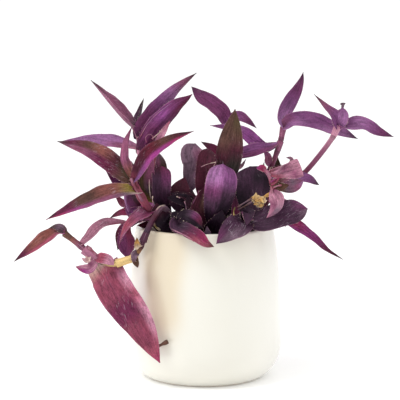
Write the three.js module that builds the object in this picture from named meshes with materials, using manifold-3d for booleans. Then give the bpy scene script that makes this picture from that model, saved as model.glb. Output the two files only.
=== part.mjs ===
// A purple tradescantia in a round cream ceramic pot.
// Millimetres, +Z up, the front of the plant faces -Y, origin at the centre of the pot's foot.
import * as THREE from "three";
import { mergeVertices } from "three/addons/utils/BufferGeometryUtils.js";
import Module from "manifold-3d";

const wasm = await Module();
wasm.setup();

// Driving dimensions of the pot
const POT_HEIGHT = 127.5;
const POT_RADIUS = 65;
const RIM_RADIUS = 58;
const FOOT_RADIUS = 45;
const SHOULDER_HEIGHT = 29; // where the rounded base meets the upright wall
const BASE_ROUNDNESS = 1.85; // exponent of the base's superellipse
const WALL_BEND = 3; // exponent of the wall's lean inwards towards the rim
const LIP_HEIGHT = 2; // the rounding of the rim, upright and across
const LIP_ROUND = 1;
const WALL = 5;
const FLOOR = 7;
const FLOOR_ROUND = 4; // slant between the floor and the inner wall
const POT_SIDES = 36;
const BASE_STEPS = 5;
const WALL_STEPS = 4;
const POT_COLOR = 0xefe9d8;
const GLAZE_ROUGHNESS = 0.35;

// Soil and the clearances between pieces
const SOIL_LEVEL = 114;
const SOIL_BUMP = 1.4; // height of the hills in its top
const SOIL_EDGE = 1; // drop of its rim along the wall
const SOIL_RINGS = [0.95, 0.8, 0.55, 0.3]; // radii of its top's rings, as shares
const SOIL_COLOR = 0x2b211b;
const SOIL_ROUGHNESS = 0.95;
const GAP = 0.35;

// Stems and leaves
const STEM_SIDES = 6;
const LEAF_THICKNESS = 0.9;
const LEAF_ROWS = 7;
const SMALL_LEAF_ROWS = 5;
const SMALL_LEAF_WIDTH = 10; // a leaf narrower than this has the fewer rows
const LEAF_STRIPS = 2;
const BROAD_LEAF_STRIPS = 4;
const BROAD_LEAF_WIDTH = 25; // a leaf broader than this has the more strips across
const TIP_DETAIL = 1.4; // above 1 the rows stand closer together towards the tip
const LEAF_BOW = 1.25; // 1 gives a leaf two flat halves, and more rounds them
const CLASP_ANGLE = 60; // degrees that each half rises by where the leaf's base wraps the stem
const CLASP_LENGTH = 0.2; // share of the leaf's length in which that wrap opens
const LEAF_TIP = 0.04; // width left at the tip, as a share of the leaf's width
const LEAF_ROUGHNESS = 0.5;
const EXTRA_STEM_STEPS = 3; // straight lengths that a stem has on top of one a point
const SHEATH_TAPER = 0.8; // radius of a sheath's lower end, as a share of its upper one
const SHEATH_RISE = 1; // how far a sheath stands past its node
const SPUR_STEPS = 3;

// The plant is laid out from the front. A point is [x, depth, z]: x and z are where it is seen, from
// the eye, on the upright plane through the pot's axis, and depth is how far behind that plane it lies.
const EYE = new THREE.Vector3(-4, -1192, 290);

function seen([x, depth, z]) {
  const reach = 1 - depth / EYE.y;
  return new THREE.Vector3(EYE.x + (x - EYE.x) * reach, depth, EYE.z + (z - EYE.z) * reach);
}

// A leaf grows from the stem at `node`, which counts along the stem's points and may lie between two,
// and runs through the points of `path` to its tip. `face` is the way that its upper side looks, `fold`
// the angle in degrees that each half rises by, `belly` where it is widest, `blunt` how full it stays
// towards the tip, `root` its width at the base as a share, `flare` how late it widens from there,
// `clasp` how far its base wraps the stem, from 0 to 1, and `crease` where the fold lies across it, from
// -1 to 1. A sheath is [node, length, radius].
const SHOOTS = {
  left_tall_shoot: {
    color: 0x6f3a70,
    radius: 2.2,
    stem: [[-20, 6, 102], [-33, 8, 134], [-45, 10, 162], [-53, 10, 184], [-56, 10, 198], [-57, 10, 208]],
    sheaths: [[3, 8, 3.1], [5, 8, 3.1]],
    leaves: [
      { node: 2.8, path: [[-64, 10, 196], [-90, 14, 199], [-122, 18, 198]], width: 16, face: [0, -0.8, 0.6],
        fold: 15 },
      { node: 5, path: [[-76, 6, 230], [-95, 4, 249]], width: 17, face: [0.7, -0.3, 0.7], fold: 42,
        blunt: 1.3 },
      { node: 5, path: [[-55, 14, 222], [-51.5, 16, 233.5]], width: 8, face: [-1, -0.5, 0], fold: 35,
        blunt: 1.2 },
      { node: 4, path: [[-50, 17, 211], [-43, 21, 221], [-33, 23, 232], [-21.5, 24, 244], [-7, 26, 255]],
        width: 16, face: [-0.35, 0.85, 0.35], fold: 20, blunt: 1.5 },
      { node: 3,
        path: [[-46, 2, 199], [-38.5, -3, 209.5], [-28.5, -6, 220.5], [-17, -6, 231.5], [-10.5, -6, 237.3]],
        width: 18, face: [-0.35, 0.85, 0.35], fold: 22, blunt: 1.7 },
    ],
  },
  left_front_shoot: {
    color: 0x7a3d55,
    radius: 2.6,
    stem: [[-27, -16, 102], [-38, -20, 130], [-47, -23, 142], [-54, -24, 152], [-62, -24, 163]],
    leaves: [
      { node: 4,
        path: [[-56, -32, 173], [-48.5, -36, 184.5], [-41, -38, 191.5], [-26, -38, 201], [-9, -36, 206.5]],
        width: 15, face: [-0.3, -0.8, 0.5], fold: 30, blunt: 1.4, root: 0.4 },
      { node: 3.9, path: [[-80, -24, 181], [-98, -22, 192], [-123, -20, 198]], width: 18,
        face: [-0.1, -0.85, 0.5], fold: 14, blunt: 1.7 },
      { node: 4, path: [[-69, -28, 182], [-67.5, -28, 195], [-60, -26, 210]], width: 14,
        face: [0.8, 0.5, 0], fold: 48, blunt: 1.5 },
      { node: 2,
        path: [[-57, -33, 153], [-70, -36, 156.5], [-88, -38, 152.5], [-110, -40, 144], [-133, -42, 132]],
        width: 16, face: [0.1, -0.6, 0.8], fold: 30, belly: 0.45, blunt: 1.6, root: 0.45 },
      { node: 3.7, path: [[-73, -14, 179], [-80, -12, 191]], width: 12, face: [0.6, -0.8, 0.3], fold: 20 },
      { node: 3.6, path: [[-72, -15, 169], [-82, -12, 176]], width: 12, face: [0, -0.9, 0.5], fold: 15 },
      { node: 2, path: [[-56, -18, 141], [-62, -16, 147], [-64, -14, 157]], width: 17,
        face: [-0.6, -0.8, 0.2], fold: 15 },
      { node: 1.7, path: [[-63, -8, 140], [-79, -6, 134]], width: 9, face: [0, -0.6, 0.8], fold: 30 },
      { node: 2.3, path: [[-64, -5, 143], [-77, -3, 154]], width: 8, face: [0.6, -0.8, 0.3], fold: 20 },
      { node: 1.8, path: [[-54, -35, 135.5], [-61, -41, 128], [-67, -44, 120], [-71.5, -45, 110.5]],
        width: 12, face: [-0.4, -0.9, 0.3], fold: 18, belly: 0.25, blunt: 1, root: 0.7 },
      { node: 1.2, path: [[-55, -27, 129], [-63, -32, 121], [-66, -34, 112], [-64.5, -34, 100.5]],
        width: 16, face: [-0.5, -0.8, 0.3], fold: 12, blunt: 2.4, belly: 0.65, root: 0.3, flare: 2 },
      { node: 1.5, path: [[-63, -14, 130], [-75, -20, 126], [-76, -25, 117], [-71, -28, 109]], width: 8,
        face: [-0.4, -0.9, 0.2], fold: 25 },
    ],
  },
  left_inner_shoot: {
    color: 0x5a2d50,
    radius: 2.4,
    stem: [[-14, -6, 102], [-28, -8, 134], [-43, -8, 150], [-44.5, -8, 168], [-43, -9, 184], [-40, -9, 196]],
    leaves: [
      { node: 2, path: [[-51, -13, 158], [-52.5, -16, 170], [-46, -18, 184]], width: 15,
        face: [0.2, -1, 0.1], fold: 28 },
      { node: 1.2, path: [[-36, -15, 150], [-35.5, -18, 164], [-34.5, -13, 177]], width: 16,
        face: [0.1, -1, 0.1], fold: 15, blunt: 3, belly: 0.6 },
      { node: 3, path: [[-38, 1, 178], [-40, 2, 191]], width: 7, face: [0.8, -0.6, 0], fold: 30 },
      { node: 5, path: [[-35.5, -11, 204], [-28, -14, 215.5]], width: 5, face: [-0.2, -0.9, 0.3],
        fold: 20 },
    ],
  },
  trailing_shoot: {
    color: 0xa34a66,
    radius: 2.4,
    stem: [
      [-12, -28, 102], [-26, -34, 132], [-35, -38, 143], [-43, -43, 135], [-49, -47, 121], [-54, -47, 109],
      [-59, -46, 101], [-68, -44, 97], [-77, -42, 94.5], [-87, -40, 96.5], [-95, -39, 102], [-104, -38, 110],
      [-111, -37, 116.5], [-117, -37, 122],
    ],
    sheaths: [[7.6, 14, 3.1], [10.8, 14, 3.9], [13, 7, 3]],
    leaves: [
      { node: 11, path: [[-99, -37, 119], [-91, -35, 126.5], [-79, -34, 129.5], [-61, -35, 129.5]],
        width: 10, face: [-0.3, -0.5, 0.8], fold: 30, root: 0.4, blunt: 1.4 },
      { node: 13, path: [[-125, -37, 123], [-138, -37, 115], [-150, -36, 105.5], [-161, -35, 96.5]],
        width: 13, face: [0.1, -0.6, 0.8], fold: 30, blunt: 1.5 },
      { node: 12.8, path: [[-120, -36, 127], [-128, -35, 127.5]], width: 7, face: [0, -0.7, 0.7],
        fold: 30 },
      { node: 9.2, path: [[-85, -46, 88], [-77, -53, 73], [-61, -58, 46], [-38, -62, 9]], width: 31,
        face: [0.2, 0.9, -0.2], fold: 14, crease: 0.45, belly: 0.2, blunt: 2.2, root: 0.8, clasp: 0.1 },
      { node: 9.4, path: [[-96, -46, 91.5], [-102, -48, 89.5], [-108.5, -49, 91.5]], width: 11,
        face: [0, -1, 0.3], fold: 25, belly: 0.6 },
      { node: 10.2, path: [[-99, -45, 96], [-104, -46, 98.5]], width: 5, face: [-0.3, -0.9, 0.3],
        fold: 20 },
      { node: 8.8, path: [[-82, -51, 99], [-76, -53, 95.5]], width: 13, face: [0.3, -0.9, 0.5], fold: 30,
        belly: 0.6, blunt: 3 },
      { node: 4.6, path: [[-57, -52, 112], [-60.5, -52, 105.5]], width: 7, face: [-0.5, -1, 0], fold: 20 },
      { node: 6, path: [[-58, -50, 96], [-56, -51, 91]], width: 6, face: [0, -1, 0], fold: 35 },
      { node: 1, path: [[-32, -31, 129], [-36.5, -28, 135], [-37, -26, 143]], width: 19,
        face: [0.1, -1, 0.1], fold: 12, blunt: 2.2 },
    ],
    spurs: [{ path: [[-42.5, -60.5, 22], [-36, -62, 25], [-31, -62, 27]], radius: 1 }],
  },
  front_rim_shoot: {
    color: 0x8a3c5c,
    radius: 2.2,
    stem: [[-4, -38, 103], [-14, -43, 122], [-23, -45, 131]],
    leaves: [
      { node: 2, path: [[-15, -54, 125.5], [-5, -61, 118], [7, -65, 109.5]], width: 16,
        face: [0.3, -0.9, 0.5], fold: 18, belly: 0.35, blunt: 2.2, root: 0.7 },
      { node: 1.6, path: [[-14, -47, 137], [-6, -48, 134], [1, -48, 127]], width: 11, face: [0, -0.8, 0.6],
        fold: 18 },
    ],
  },
  center_front_shoot: {
    color: 0x6d3b6c,
    radius: 2.4,
    stem: [[4, -22, 102], [5, -26, 122], [6, -28, 134]],
    leaves: [
      { node: 1,
        path: [[7, -42, 139], [12, -43, 154], [16, -38, 166.5], [17.5, -30, 176], [18.5, -20, 178]],
        width: 26, face: [-0.1, 0.9, -0.3], fold: 12, belly: 0.6, blunt: 3, root: 0.5 },
      { node: 1.6, path: [[14, -30, 137], [18, -27, 153]], width: 21, face: [0, -1, 0.1], fold: 12,
        blunt: 2.4 },
      { node: 1.3, path: [[-4, -30, 137], [-8, -29, 157]], width: 22, face: [0, -1, 0.2], fold: 14,
        blunt: 2 },
      { node: 0.7, path: [[11, -40, 128], [15, -44, 140]], width: 17, face: [0, -1, 0.2], fold: 10,
        blunt: 2.4 },
    ],
  },
  center_back_shoot: {
    color: 0x4a2c3a,
    radius: 2.4,
    stem: [[8, -4, 102], [10, -4, 135], [14, -4, 160], [18, -3, 178]],
    leaves: [
      { node: 2, path: [[19, -12, 180], [22, -13, 202], [25, -8, 224]], width: 22, face: [0, -1, 0.1],
        fold: 10, belly: 0.45, blunt: 1.9 },
      { node: 1.3, path: [[2, -14, 156], [1, -15, 173], [3, -11, 186], [6, -4, 191]], width: 17,
        face: [0, -1, 0.2], fold: 12, belly: 0.7, blunt: 3 },
      { node: 3, path: [[9, 3, 192], [-2.5, 5, 198]], width: 9, face: [0.1, -0.8, 0.6], fold: 25 },
      { node: 1.1, path: [[-4, 0, 152], [-10, -2, 167], [-10.5, -2, 180], [-10.5, 2, 190], [-11, 9, 196.5]],
        width: 20, face: [0, -1, 0.2], fold: 12, belly: 0.85, blunt: 4, root: 0.3, flare: 2.2 },
      { node: 1, path: [[-8, -8, 149], [-16, -10, 162], [-23, -10, 164], [-29, -10, 158]], width: 13,
        face: [0, -0.6, 0.8], fold: 20 },
      { node: 0.9, path: [[-6, -16, 146], [-17, -19, 151], [-29, -20, 154]], width: 13,
        face: [0, -0.7, 0.7], fold: 20, blunt: 2.2 },
      { node: 0.8, path: [[-6, -15, 132], [-18, -20, 137], [-29, -23, 147]], width: 22,
        face: [0, -0.9, 0.4], fold: 15, blunt: 2.4 },
      { node: 3, path: [[28, 0, 176], [36, 2, 184.5]], width: 6, face: [-0.5, -0.8, 0.3], fold: 20 },
    ],
  },
  upper_center_shoot: {
    color: 0x75406f,
    radius: 2,
    stem: [[14, 18, 102], [18, 18, 140], [21, 16, 175], [20, 15, 200], [19, 14, 210]],
    leaves: [
      { node: 4, path: [[14, 12, 221], [6, 10, 229.5], [-3, 8, 235.5], [-10.5, 6, 241.5]], width: 16,
        face: [0.3, -0.8, 0.5], fold: 15, blunt: 2.4 },
      { node: 4, path: [[27, 14, 220], [36, 13, 218], [43.5, 12, 209.5]], width: 13, face: [0, -0.7, 0.7],
        fold: 22 },
    ],
  },
  right_tall_shoot: {
    color: 0x85457f,
    radius: 2,
    stem: [
      [26, 14, 102], [38, 13, 140], [49, 12, 163], [55, 11, 176], [60, 10, 189], [64, 10, 201],
      [66, 10, 209],
    ],
    sheaths: [[5, 8, 3], [6, 8, 3]],
    leaves: [
      { node: 3, path: [[53, 12, 185], [47, 11, 193.5], [37, 9, 203.5], [24, 6, 209.5], [4.5, 3, 211.5]],
        width: 11, face: [-0.2, -0.8, 0.5], fold: 18, root: 0.45 },
      { node: 5, path: [[56, 5, 195], [46, 1, 191.5], [34, 2, 189], [21, 3, 186.5]], width: 11,
        face: [-0.1, -0.8, 0.6], fold: 18 },
      { node: 6, path: [[64, 9, 221], [70, 8, 232], [77, 8, 243], [81.5, 9, 255.5]], width: 14,
        face: [0.5, -0.8, 0.1], fold: 25, blunt: 1.8 },
      { node: 6, path: [[73, 7, 215.5], [87, 5, 215], [105, 5, 209], [127, 7, 199.5]], width: 15,
        face: [0.1, -0.8, 0.6], fold: 18, blunt: 1.8 },
      { node: 2, path: [[58, 18, 174], [61, 18, 186]], width: 10, face: [0, -1, 0.2], fold: 20 },
      { node: 2, path: [[47, 18, 171], [50, 18, 181.5]], width: 7, face: [0, -1, 0.2], fold: 20 },
    ],
  },
  flowering_shoot: {
    color: 0x7d4472,
    radius: 2.2,
    stem: [
      [34, -4, 102], [44, -5, 134], [56, -6, 151], [68, -7, 163], [77, -8, 169], [84, -8, 173],
      [97, -8, 190], [106, -8, 203], [110, -8, 211],
    ],
    sheaths: [[8, 9, 3.3]],
    leaves: [
      { node: 8, path: [[121, -8, 211.5], [132, -8, 212], [145, -8, 206], [157, -8, 201.5]], width: 17,
        face: [0.1, -0.6, 0.8], fold: 26, blunt: 1.8 },
      { node: 8, path: [[107, -12, 220.5], [99, -12, 229], [91.5, -11, 236.7]], width: 16,
        face: [0.6, -0.7, 0.4], fold: 25, belly: 0.25, blunt: 0.75 },
      { node: 8, path: [[112.5, -11, 218], [114.5, -9, 225.5]], width: 14, face: [-0.2, -0.9, 0.2],
        fold: 25, blunt: 2.4 },
      { node: 1,
        path: [[60, -14, 133], [77, -22, 127], [92, -26, 117.5], [104, -28, 107.5], [117, -30, 98]],
        width: 13, face: [0.3, -0.6, 0.8], fold: 28, belly: 0.45, blunt: 1.3 },
    ],
    spurs: [{ path: [[112, -7, 216], [114.5, -7, 225], [116, -7, 230.5]], radius: 1 }],
  },
  bract_shoot: {
    color: 0xb0607c,
    radius: 1.9,
    stem: [
      [34, -30, 102], [42, -33, 128], [52, -34, 145], [57, -31, 155], [56, -29, 163], [53.5, -27, 170],
      [49, -24, 175],
    ],
    leaves: [
      { node: 5, path: [[62, -29, 171.5], [72, -28, 175], [81.5, -27, 178.5]], width: 17,
        face: [0, -1, 0.2], fold: 20, belly: 0.9, blunt: 4, root: 0.2, flare: 1.4 },
      { node: 5.2, path: [[68, -20, 176], [75, -20, 181], [69, -20, 185]], width: 5, face: [0, -1, 0.2],
        fold: 20 },
      { node: 4, path: [[65, -32, 160], [74, -31, 158.5], [83, -29, 164]], width: 18,
        face: [0.1, -0.5, 0.9], fold: 35, belly: 0.5, blunt: 2.6 },
      { node: 4.6, path: [[70, -21, 169.5], [84, -20, 168], [96, -18, 161.5]], width: 8,
        face: [0, -0.8, 0.6], fold: 20, belly: 0.6 },
      { node: 3.5, path: [[60, -40, 156], [62, -50, 148.5], [59, -56, 141], [52, -58, 133.5]], width: 15,
        face: [-0.2, -0.9, 0.3], fold: 15, belly: 0.6, blunt: 1.7, root: 0.25, flare: 2.4 },
      { node: 6, path: [[46.5, -24, 176.5], [43.5, -24, 176.5]], width: 6, face: [0.2, -0.8, 0.6],
        fold: 25 },
    ],
  },
  dark_right_shoot: {
    color: 0x3a2440,
    radius: 2.4,
    stem: [[22, -34, 102], [29, -37, 124], [35, -40, 133]],
    leaves: [
      { node: 1, path: [[36, -26, 142], [41, -20, 158], [42, -15, 170], [41.5, -12, 177]], width: 28,
        face: [0, -1, 0.1], fold: 10, belly: 0.6, blunt: 3.6, root: 0.3, flare: 1.4 },
      { node: 2, path: [[48, -49, 131.5], [62, -50, 135.5], [75, -49, 138], [87, -46, 139.5]], width: 23,
        face: [-0.1, -0.85, 0.5], fold: 12, belly: 0.5, blunt: 3.2 },
      { node: 1.7, path: [[30, -55, 128], [21, -62, 122], [10, -65, 111.5]], width: 21,
        face: [0, -0.9, 0.4], fold: 12, belly: 0.45, blunt: 1.9 },
    ],
  },
  back_left_shoot: {
    color: 0x6a3566,
    radius: 2.2,
    stem: [[-16, 22, 106], [-26, 34, 134], [-34, 46, 147], [-42, 58, 149]],
    leaves: [
      { node: 3, path: [[-50, 74, 142], [-54, 92, 118], [-52, 100, 92]], width: 22, face: [-0.3, 0.5, 0.8],
        fold: 22 },
      { node: 2, path: [[-26, 62, 152], [-24, 82, 146], [-26, 98, 128]], width: 20, face: [0, 0.2, 1],
        fold: 22 },
      { node: 1, path: [[-40, 30, 146], [-52, 32, 158], [-57, 36, 169]], width: 16, face: [0.7, 0.3, 0.6],
        fold: 25 },
    ],
  },
  back_center_shoot: {
    color: 0x5c3060,
    radius: 2.2,
    stem: [[0, 26, 106], [2, 38, 136], [4, 54, 151], [6, 66, 155]],
    leaves: [
      { node: 3, path: [[4, 84, 150], [0, 104, 128], [-4, 112, 100]], width: 24, face: [0, 0.5, 0.9],
        fold: 22 },
      { node: 2, path: [[14, 60, 166], [20, 66, 170], [30, 76, 162]], width: 20, face: [0.2, 0.2, 1],
        fold: 22 },
      { node: 1, path: [[-10, 42, 146], [-18, 50, 150], [-26, 64, 142]], width: 18, face: [-0.2, 0.2, 1],
        fold: 22 },
      { node: 3, path: [[7, 66, 168], [9, 62, 186]], width: 20, face: [0, -1, 0.2], fold: 20 },
    ],
  },
  back_right_shoot: {
    color: 0x6a3566,
    radius: 2.2,
    stem: [[22, 28, 106], [30, 35, 138], [42, 48, 148], [50, 58, 151]],
    leaves: [
      { node: 3, path: [[58, 74, 148], [66, 90, 138], [68, 102, 126]], width: 22, face: [0.3, 0.3, 0.9],
        fold: 22 },
      { node: 2, path: [[42, 66, 158], [38, 84, 152], [34, 98, 130]], width: 20, face: [0, 0.3, 1],
        fold: 22 },
      { node: 1, path: [[44, 32, 148], [58, 34, 156], [72, 38, 160]], width: 16, face: [-0.3, 0.3, 0.9],
        fold: 25 },
    ],
  },
  back_trailing_shoot: {
    color: 0x8a4468,
    radius: 2.3,
    stem: [
      [-6, 30, 106], [-8, 42, 136], [-10, 56, 144.5], [-12, 70, 140], [-11, 78, 122], [-8, 81, 98],
      [-4, 82, 76],
    ],
    leaves: [
      { node: 4, path: [[-24, 84, 118], [-38, 92, 104], [-44, 92, 84]], width: 19, face: [-0.3, 0.6, 0.6],
        fold: 22 },
      { node: 5, path: [[6, 92, 94], [20, 98, 78], [26, 96, 56]], width: 19, face: [0.3, 0.7, 0.5],
        fold: 22 },
      { node: 6, path: [[-4, 90, 62], [-10, 94, 46], [-12, 92, 32]], width: 18, face: [0, 1, 0.3],
        fold: 22 },
    ],
  },
};

// The withered flower on its stalk, in front of the bracts
const DRIED_FLOWER = {
  center: [45.5, -42, 149],
  radius: 4.8,
  stretch: [1.15, 0.8, 1],
  crumple: 0.28,
  stalk: [[54.7, -34.3, 153.7], [48, -41, 150]],
  stalkRadius: 1.3,
  color: 0xc79a55,
  roughness: 0.85,
};

function solidOf(geometry) {
  const bare = geometry.clone();
  for (const name of Object.keys(bare.attributes)) {
    if (name !== "position") bare.deleteAttribute(name);
  }
  const merged = mergeVertices(bare, 1e-4);
  return new wasm.Manifold(
    new wasm.Mesh({
      numProp: 3,
      vertProperties: merged.attributes.position.array,
      triVerts: new Uint32Array(merged.index.array),
    }),
  );
}

function geometryOf(solid) {
  const mesh = solid.getMesh();
  return new THREE.BufferGeometry()
    .setAttribute("position", new THREE.BufferAttribute(mesh.vertProperties, 3))
    .setIndex(new THREE.BufferAttribute(mesh.triVerts, 1));
}

// One body: the hollows that joining leaves sealed inside are filled
function joined(solids) {
  const whole = solids.reduce((sum, piece) => sum.add(piece));
  return whole.decompose().reduce((largest, body) => (body.volume() > largest.volume() ? body : largest));
}

function curveThrough(points) {
  return new THREE.CatmullRomCurve3(points, false, "catmullrom", 0.5);
}

function pointAt(stem, node) {
  return curveThrough(stem).getPoint(node / (stem.length - 1));
}

// A closed round bar along a curve
function bar(points, radius, sides, steps) {
  const section = new THREE.Shape().absarc(0, 0, radius, 0, 2 * Math.PI);
  return new THREE.ExtrudeGeometry(section, {
    steps,
    bevelEnabled: false,
    curveSegments: sides / 2,
    extrudePath: curveThrough(points),
  });
}

// How wide a leaf is at u, from 0 at its base to 1 at its tip, as a share of its full width
function widthShare(u, { belly = 0.4, blunt = 1.7, root = 0.6, flare = 1 }) {
  if (u < belly) return root + (1 - root) * Math.sin((Math.PI / 2) * (u / belly)) ** flare;
  return Math.max(LEAF_TIP, 1 - ((u - belly) / (1 - belly)) ** blunt);
}

// A leaf as one closed blade: two alike grids of points, thick apart, joined round their edge
function blade(leaf, base) {
  const rows = leaf.width < SMALL_LEAF_WIDTH ? SMALL_LEAF_ROWS : LEAF_ROWS;
  const strips = leaf.width > BROAD_LEAF_WIDTH ? BROAD_LEAF_STRIPS : LEAF_STRIPS;
  const curve = curveThrough([base, ...leaf.path.map(seen)]);
  const face = new THREE.Vector3(...leaf.face).normalize();
  const crease = leaf.crease ?? 0;
  const points = [];
  for (const side of [1, -1]) {
    for (let row = 0; row <= rows; row++) {
      const u = 1 - (1 - row / rows) ** TIP_DETAIL;
      const center = curve.getPointAt(u);
      const along = curve.getTangentAt(u);
      const up = face.clone().addScaledVector(along, -face.dot(along)).normalize();
      const across = along.clone().cross(up);
      const half = (leaf.width / 2) * widthShare(u, leaf);
      const wrap = (leaf.clasp ?? 0.8) * Math.max(0, 1 - u / CLASP_LENGTH) ** 2;
      const fold = THREE.MathUtils.degToRad(leaf.fold * (1 - wrap) + CLASP_ANGLE * wrap);
      for (let strip = 0; strip <= strips; strip++) {
        const s = (2 * strip) / strips - 1;
        const rise = half * Math.sin(fold) * Math.abs(s - crease) ** LEAF_BOW;
        const depth = (side * LEAF_THICKNESS) / 2;
        points.push(
          center.clone()
            .addScaledVector(across, s * half * Math.cos(fold))
            .addScaledVector(up, rise + depth),
        );
      }
    }
  }
  const wide = strips + 1;
  const under = (rows + 1) * wide;
  const index = [];
  const quad = (a, b, c, d) => index.push(a, b, c, a, c, d);
  for (let row = 0; row < rows; row++) {
    for (let strip = 0; strip < strips; strip++) {
      const a = row * wide + strip;
      const b = under + a;
      quad(a, a + 1, a + wide + 1, a + wide);
      index.push(b, b + wide, b + wide + 1, b, b + wide + 1, b + 1);
    }
    const left = row * wide;
    const right = left + strips;
    quad(left, left + wide, under + left + wide, under + left);
    quad(under + right, under + right + wide, right + wide, right);
  }
  for (let strip = 0; strip < strips; strip++) {
    const last = rows * wide + strip;
    quad(under + strip, under + strip + 1, strip + 1, strip);
    quad(under + last + 1, under + last, last, last + 1);
  }
  const geometry = new THREE.BufferGeometry();
  geometry.setAttribute("position", new THREE.Float32BufferAttribute(points.flatMap((p) => p.toArray()), 3));
  return solidOf(geometry.setIndex(index));
}

// The tube of leaf base that wraps the stem for a length below a node
function sheath(stem, [node, length, radius]) {
  const curve = curveThrough(stem);
  const share = node / (stem.length - 1);
  const along = curve.getTangent(share);
  const tube = new THREE.CylinderGeometry(radius, radius * SHEATH_TAPER, length, STEM_SIDES);
  const turn = new THREE.Quaternion().setFromUnitVectors(new THREE.Vector3(0, 1, 0), along);
  const middle = curve.getPoint(share).addScaledVector(along, SHEATH_RISE - length / 2);
  return solidOf(tube.applyQuaternion(turn).translate(...middle));
}

// How many straight lengths a stem is made of
function stemSteps(stem) {
  return stem.length + EXTRA_STEM_STEPS;
}

function shoot({ radius, stem, leaves, sheaths = [], spurs = [] }) {
  const points = stem.map(seen);
  return joined([
    solidOf(bar(points, radius, STEM_SIDES, stemSteps(stem))),
    ...sheaths.map((wrap) => sheath(points, wrap)),
    ...leaves.map((leaf) => blade(leaf, pointAt(points, leaf.node))),
    ...spurs.map((spur) => solidOf(bar(spur.path.map(seen), spur.radius, STEM_SIDES, SPUR_STEPS))),
  ]);
}

// Outer outline of the pot from the foot to the rim: a quarter of a superellipse, then the wall
function outerWall() {
  const outline = [];
  for (let i = 0; i <= BASE_STEPS; i++) {
    const turn = (Math.PI / 2) * (i / BASE_STEPS);
    outline.push(
      new THREE.Vector2(
        FOOT_RADIUS + (POT_RADIUS - FOOT_RADIUS) * Math.sin(turn) ** (2 / BASE_ROUNDNESS),
        SHOULDER_HEIGHT * (1 - Math.cos(turn) ** (2 / BASE_ROUNDNESS)),
      ),
    );
  }
  for (let i = 1; i <= WALL_STEPS; i++) {
    const rise = i / WALL_STEPS;
    outline.push(
      new THREE.Vector2(
        POT_RADIUS - (POT_RADIUS - RIM_RADIUS) * rise ** WALL_BEND,
        SHOULDER_HEIGHT + (POT_HEIGHT - LIP_HEIGHT - SHOULDER_HEIGHT) * rise,
      ),
    );
  }
  return outline;
}

// Inner outline from the rim down to the floor, one wall inside the outer one
function innerWall() {
  return outerWall()
    .filter((p) => p.y > FLOOR)
    .map((p) => new THREE.Vector2(p.x - WALL, p.y))
    .reverse();
}

function floorRadius() {
  return innerWall().at(-1).x - FLOOR_ROUND;
}

function turned(profile, sides) {
  return new THREE.LatheGeometry(profile, sides).rotateX(Math.PI / 2);
}

function pot() {
  return solidOf(
    turned(
      [
        new THREE.Vector2(0, 0),
        ...outerWall(),
        new THREE.Vector2(RIM_RADIUS - LIP_ROUND, POT_HEIGHT),
        new THREE.Vector2(RIM_RADIUS - WALL + LIP_ROUND, POT_HEIGHT),
        ...innerWall(),
        new THREE.Vector2(floorRadius(), FLOOR),
        new THREE.Vector2(0, FLOOR),
      ],
      POT_SIDES,
    ),
  );
}

// Crumbly top of the soil: low hills a little over a millimetre high
function soilHeight(x, y) {
  const hills = Math.sin(x * 0.21 + 1) * Math.cos(y * 0.17) + 0.5 * Math.sin((x + y) * 0.45);
  return SOIL_LEVEL + SOIL_BUMP * hills;
}

function soil() {
  const wall = innerWall().filter((p) => p.y < SOIL_LEVEL - SOIL_EDGE).reverse();
  const brim = wall.at(-1).x;
  const body = turned(
    [
      new THREE.Vector2(0, FLOOR + GAP),
      new THREE.Vector2(floorRadius() - GAP, FLOOR + GAP),
      ...wall.map((p) => new THREE.Vector2(p.x - GAP, p.y + GAP)),
      ...SOIL_RINGS.map((share) => new THREE.Vector2(brim * share, SOIL_LEVEL)),
      new THREE.Vector2(0, SOIL_LEVEL),
    ],
    POT_SIDES / 2,
  );
  const position = body.attributes.position;
  for (let i = 0; i < position.count; i++) {
    if (position.getZ(i) < SOIL_LEVEL - 0.01) continue;
    position.setZ(i, soilHeight(position.getX(i), position.getY(i)));
  }
  return solidOf(body);
}

// The hole that a stem stands in: the stem's own bar, a clearance larger all round
function hole({ radius, stem }) {
  const points = stem.map(seen);
  const down = points[0].clone().sub(points[1]).normalize().multiplyScalar(GAP);
  points[0].add(down);
  return solidOf(bar(points, radius + GAP, STEM_SIDES, stemSteps(stem)));
}

// A crumpled ball of dry petals on a short stalk
function driedFlower({ center, radius, stretch, crumple, stalk, stalkRadius }) {
  const ball = new THREE.IcosahedronGeometry(radius, 2);
  const position = ball.attributes.position;
  for (let i = 0; i < position.count; i++) {
    const p = new THREE.Vector3().fromBufferAttribute(position, i);
    p.multiplyScalar(1 + crumple * Math.sin(p.x * 2.1 + p.z) * Math.cos(p.y * 1.7 - p.z * 1.3));
    position.setXYZ(i, p.x * stretch[0], p.y * stretch[1], p.z * stretch[2]);
  }
  ball.translate(...seen(center));
  return solidOf(ball).add(solidOf(bar(stalk.map(seen), stalkRadius, STEM_SIDES, SPUR_STEPS)));
}

const plant = new THREE.Group();

function place(name, solid, color, roughness) {
  const finish = new THREE.MeshStandardMaterial({ color, roughness, metalness: 0 });
  const mesh = new THREE.Mesh(geometryOf(solid), finish);
  mesh.name = name;
  plant.add(mesh);
}

place("pot", pot(), POT_COLOR, GLAZE_ROUGHNESS);
const planted = Object.values(SHOOTS).reduce((earth, spec) => earth.subtract(hole(spec)), soil());
place("soil", planted, SOIL_COLOR, SOIL_ROUGHNESS);
for (const [name, spec] of Object.entries(SHOOTS)) place(name, shoot(spec), spec.color, LEAF_ROUGHNESS);
place("dried_flower", driedFlower(DRIED_FLOWER), DRIED_FLOWER.color, DRIED_FLOWER.roughness);

export default plant;
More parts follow.
